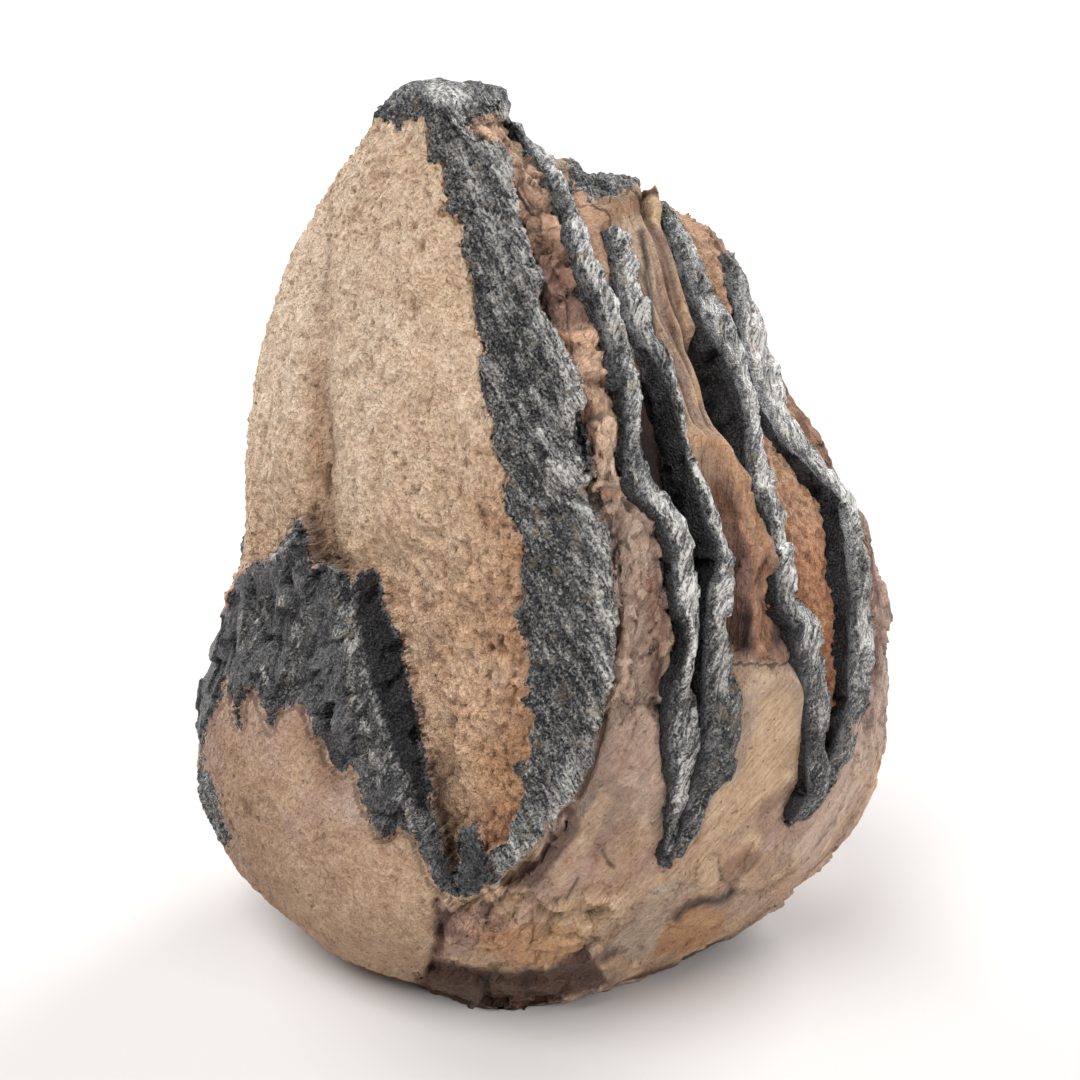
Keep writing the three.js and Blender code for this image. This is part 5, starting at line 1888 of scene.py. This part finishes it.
# Darker grains are warmer too, so green and blue fall faster than red.
tones = {0: tone, 1: maths(tree, "POWER", tone, 1.35), 2: maths(tree, "POWER", tone, 1.6)}
tone_vector = node(tree, "ShaderNodeCombineXYZ", tones).outputs["Vector"]
stained = {0: attribute(tree, "Stain", "Color"), 1: tone_vector}
ground_colour = node(tree, "ShaderNodeVectorMath", stained, operation="MULTIPLY").outputs["Vector"]
pit_share = times(tree, remap(tree, plus(tree, speck, times(tree, sand, 0.3)), 0.8, 0.88), 0.5)
ground_colour = mix(tree, pit_share, ground_colour, rgb(92, 62, 44))
# Dirt in cracks and painted shade in gaps darken the ground.
ground_colour = mix(tree, attribute(tree, "DirtAndShade"), ground_colour, rgb(34, 26, 24))
ground_roughness = maths(tree, "SUBTRACT", 0.85, times(tree, attribute(tree, "Polish"), 0.27))
ground_height = times(tree, sand, plus(tree, times(tree, sandy_share, 0.8), 0.6))
ground_height = plus(tree, ground_height, times(tree, streaks, 0.9))
ground_height = maths(tree, "SUBTRACT", ground_height, times(tree, pit_share, 0.8))
print("dentine and cement:", len(tree.nodes), "nodes")

# %% The enamel that lies in them
torn = swing(tree, noise_texture(tree, place, 1.0, 4.0, 0.7), 3.2)
enamel_share = remap(tree, plus(tree, attribute(tree, "EnamelEdge"), torn), -0.03, 0.03)
enamel_nodes = node(tree, "ShaderNodeGroup", {"Pale": attribute(tree, "Pale")}, node_tree=enamel_group)
shade_with(
    tree,
    shader,
    mix(tree, enamel_share, ground_colour, enamel_nodes.outputs["Color"]),
    mix_values(tree, enamel_share, ground_roughness, enamel_nodes.outputs["Roughness"]),
    mix_values(tree, enamel_share, ground_height, enamel_nodes.outputs["Height"]),
    0.7,
)
for piece in body_pieces:
    piece.data.materials.append(ground_material)
print("with enamel:", len(tree.nodes), "nodes")

# %% [markdown]
# ## Putting the pieces on the frame
#
# The body and the ribs ride on the CAD body and stand in for its solid.

# %% Ride and replace
for piece in [*body_pieces, *ribs]:
    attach(piece, "root")
    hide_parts("molar")
print(len(body_pieces) + len(ribs), "pieces stand for the CAD node")

# %% [markdown]
# ## A white table under soft light
#
# Small specimens are shown on a white table between broad windows, so that every side is lit and the only
# shadow is the soft one underneath. The world gives a little even light. Four suns, each spread over a wide
# patch of sky, stand for the windows. The one behind on the right is the strongest, so that the ribs stand out.

# %% Table and even light
TABLE_HALF = 12.0  # metres from its middle to its edges, so that the table fills the view
table_mesh = bpy.data.meshes.new("white table")
around = ((-1, -1), (1, -1), (1, 1), (-1, 1))
table_corners = [(TABLE_HALF * right, TABLE_HALF * back, 0) for right, back in around]
table_mesh.from_pydata(table_corners, [], [(0, 1, 2, 3)])
table = bpy.data.objects.new("white table", table_mesh)
scene.collection.objects.link(table)
table_material, _, table_shader = new_material("white table")
table_shader.inputs["Base Color"].default_value = (0.66, 0.638, 0.630, 1)
table_shader.inputs["Roughness"].default_value = 0.9
table_shader.inputs["Specular IOR Level"].default_value = 0.1
table_mesh.materials.append(table_material)

world = bpy.data.worlds.new("white room")
world.use_nodes = True
world.node_tree.nodes["Background"].inputs["Color"].default_value = (1.0, 0.985, 0.975, 1)
world.node_tree.nodes["Background"].inputs["Strength"].default_value = 0.2
scene.world = world
print("the table is", 2 * TABLE_HALF, "m wide")

# %% Windows
WINDOW_SPREAD = math.radians(38)
# (name, height, share towards the near side, share across, strength)
WINDOWS = [
    ("window behind right", 0.5, -0.612, 0.612, 2.9),
    ("window behind left", 0.5, -0.612, -0.612, 1.9),
    ("window right", 0.5, 0.612, 0.612, 1.35),
    ("window above left", 0.866, 0.354, -0.354, 2.4),
]
for name, height, near, across, strength in WINDOWS:
    lamp = bpy.data.lights.new(name, "SUN")
    lamp.angle = WINDOW_SPREAD
    lamp.energy = strength
    window = bpy.data.objects.new(name, lamp)
    scene.collection.objects.link(window)
    direction = np.array([0, 0, height]) + near * NEAR + across * ACROSS
    window.rotation_euler = Vector(direction).to_track_quat("Z", "Y").to_euler()
print("world and", len(WINDOWS), "windows")

# %% [markdown]
# ## The camera
#
# It stands at the drawing's eye, which is why everything traced on the drawing falls into place.

# %% Camera
SENSOR_WIDTH = 36.0
camera_data = bpy.data.cameras.new("corner view")
camera_data.sensor_width = SENSOR_WIDTH
camera_data.lens = SENSOR_WIDTH * DRAWING_SCALE / (2 * DRAWING_MIDDLE)
camera_data.clip_start = 0.01
camera_data.clip_end = 50.0
camera = bpy.data.objects.new("corner view", camera_data)
camera.location = Vector(EYE) * MM
camera.rotation_euler = Vector(-TO_EYE).to_track_quat("-Z", "Y").to_euler()
scene.collection.objects.link(camera)
scene.camera = camera
scene.view_settings.view_transform = "Standard"
scene.view_settings.look = "None"
print("lens", round(camera_data.lens, 1), "mm, eye", [round(v, 4) for v in camera.location])
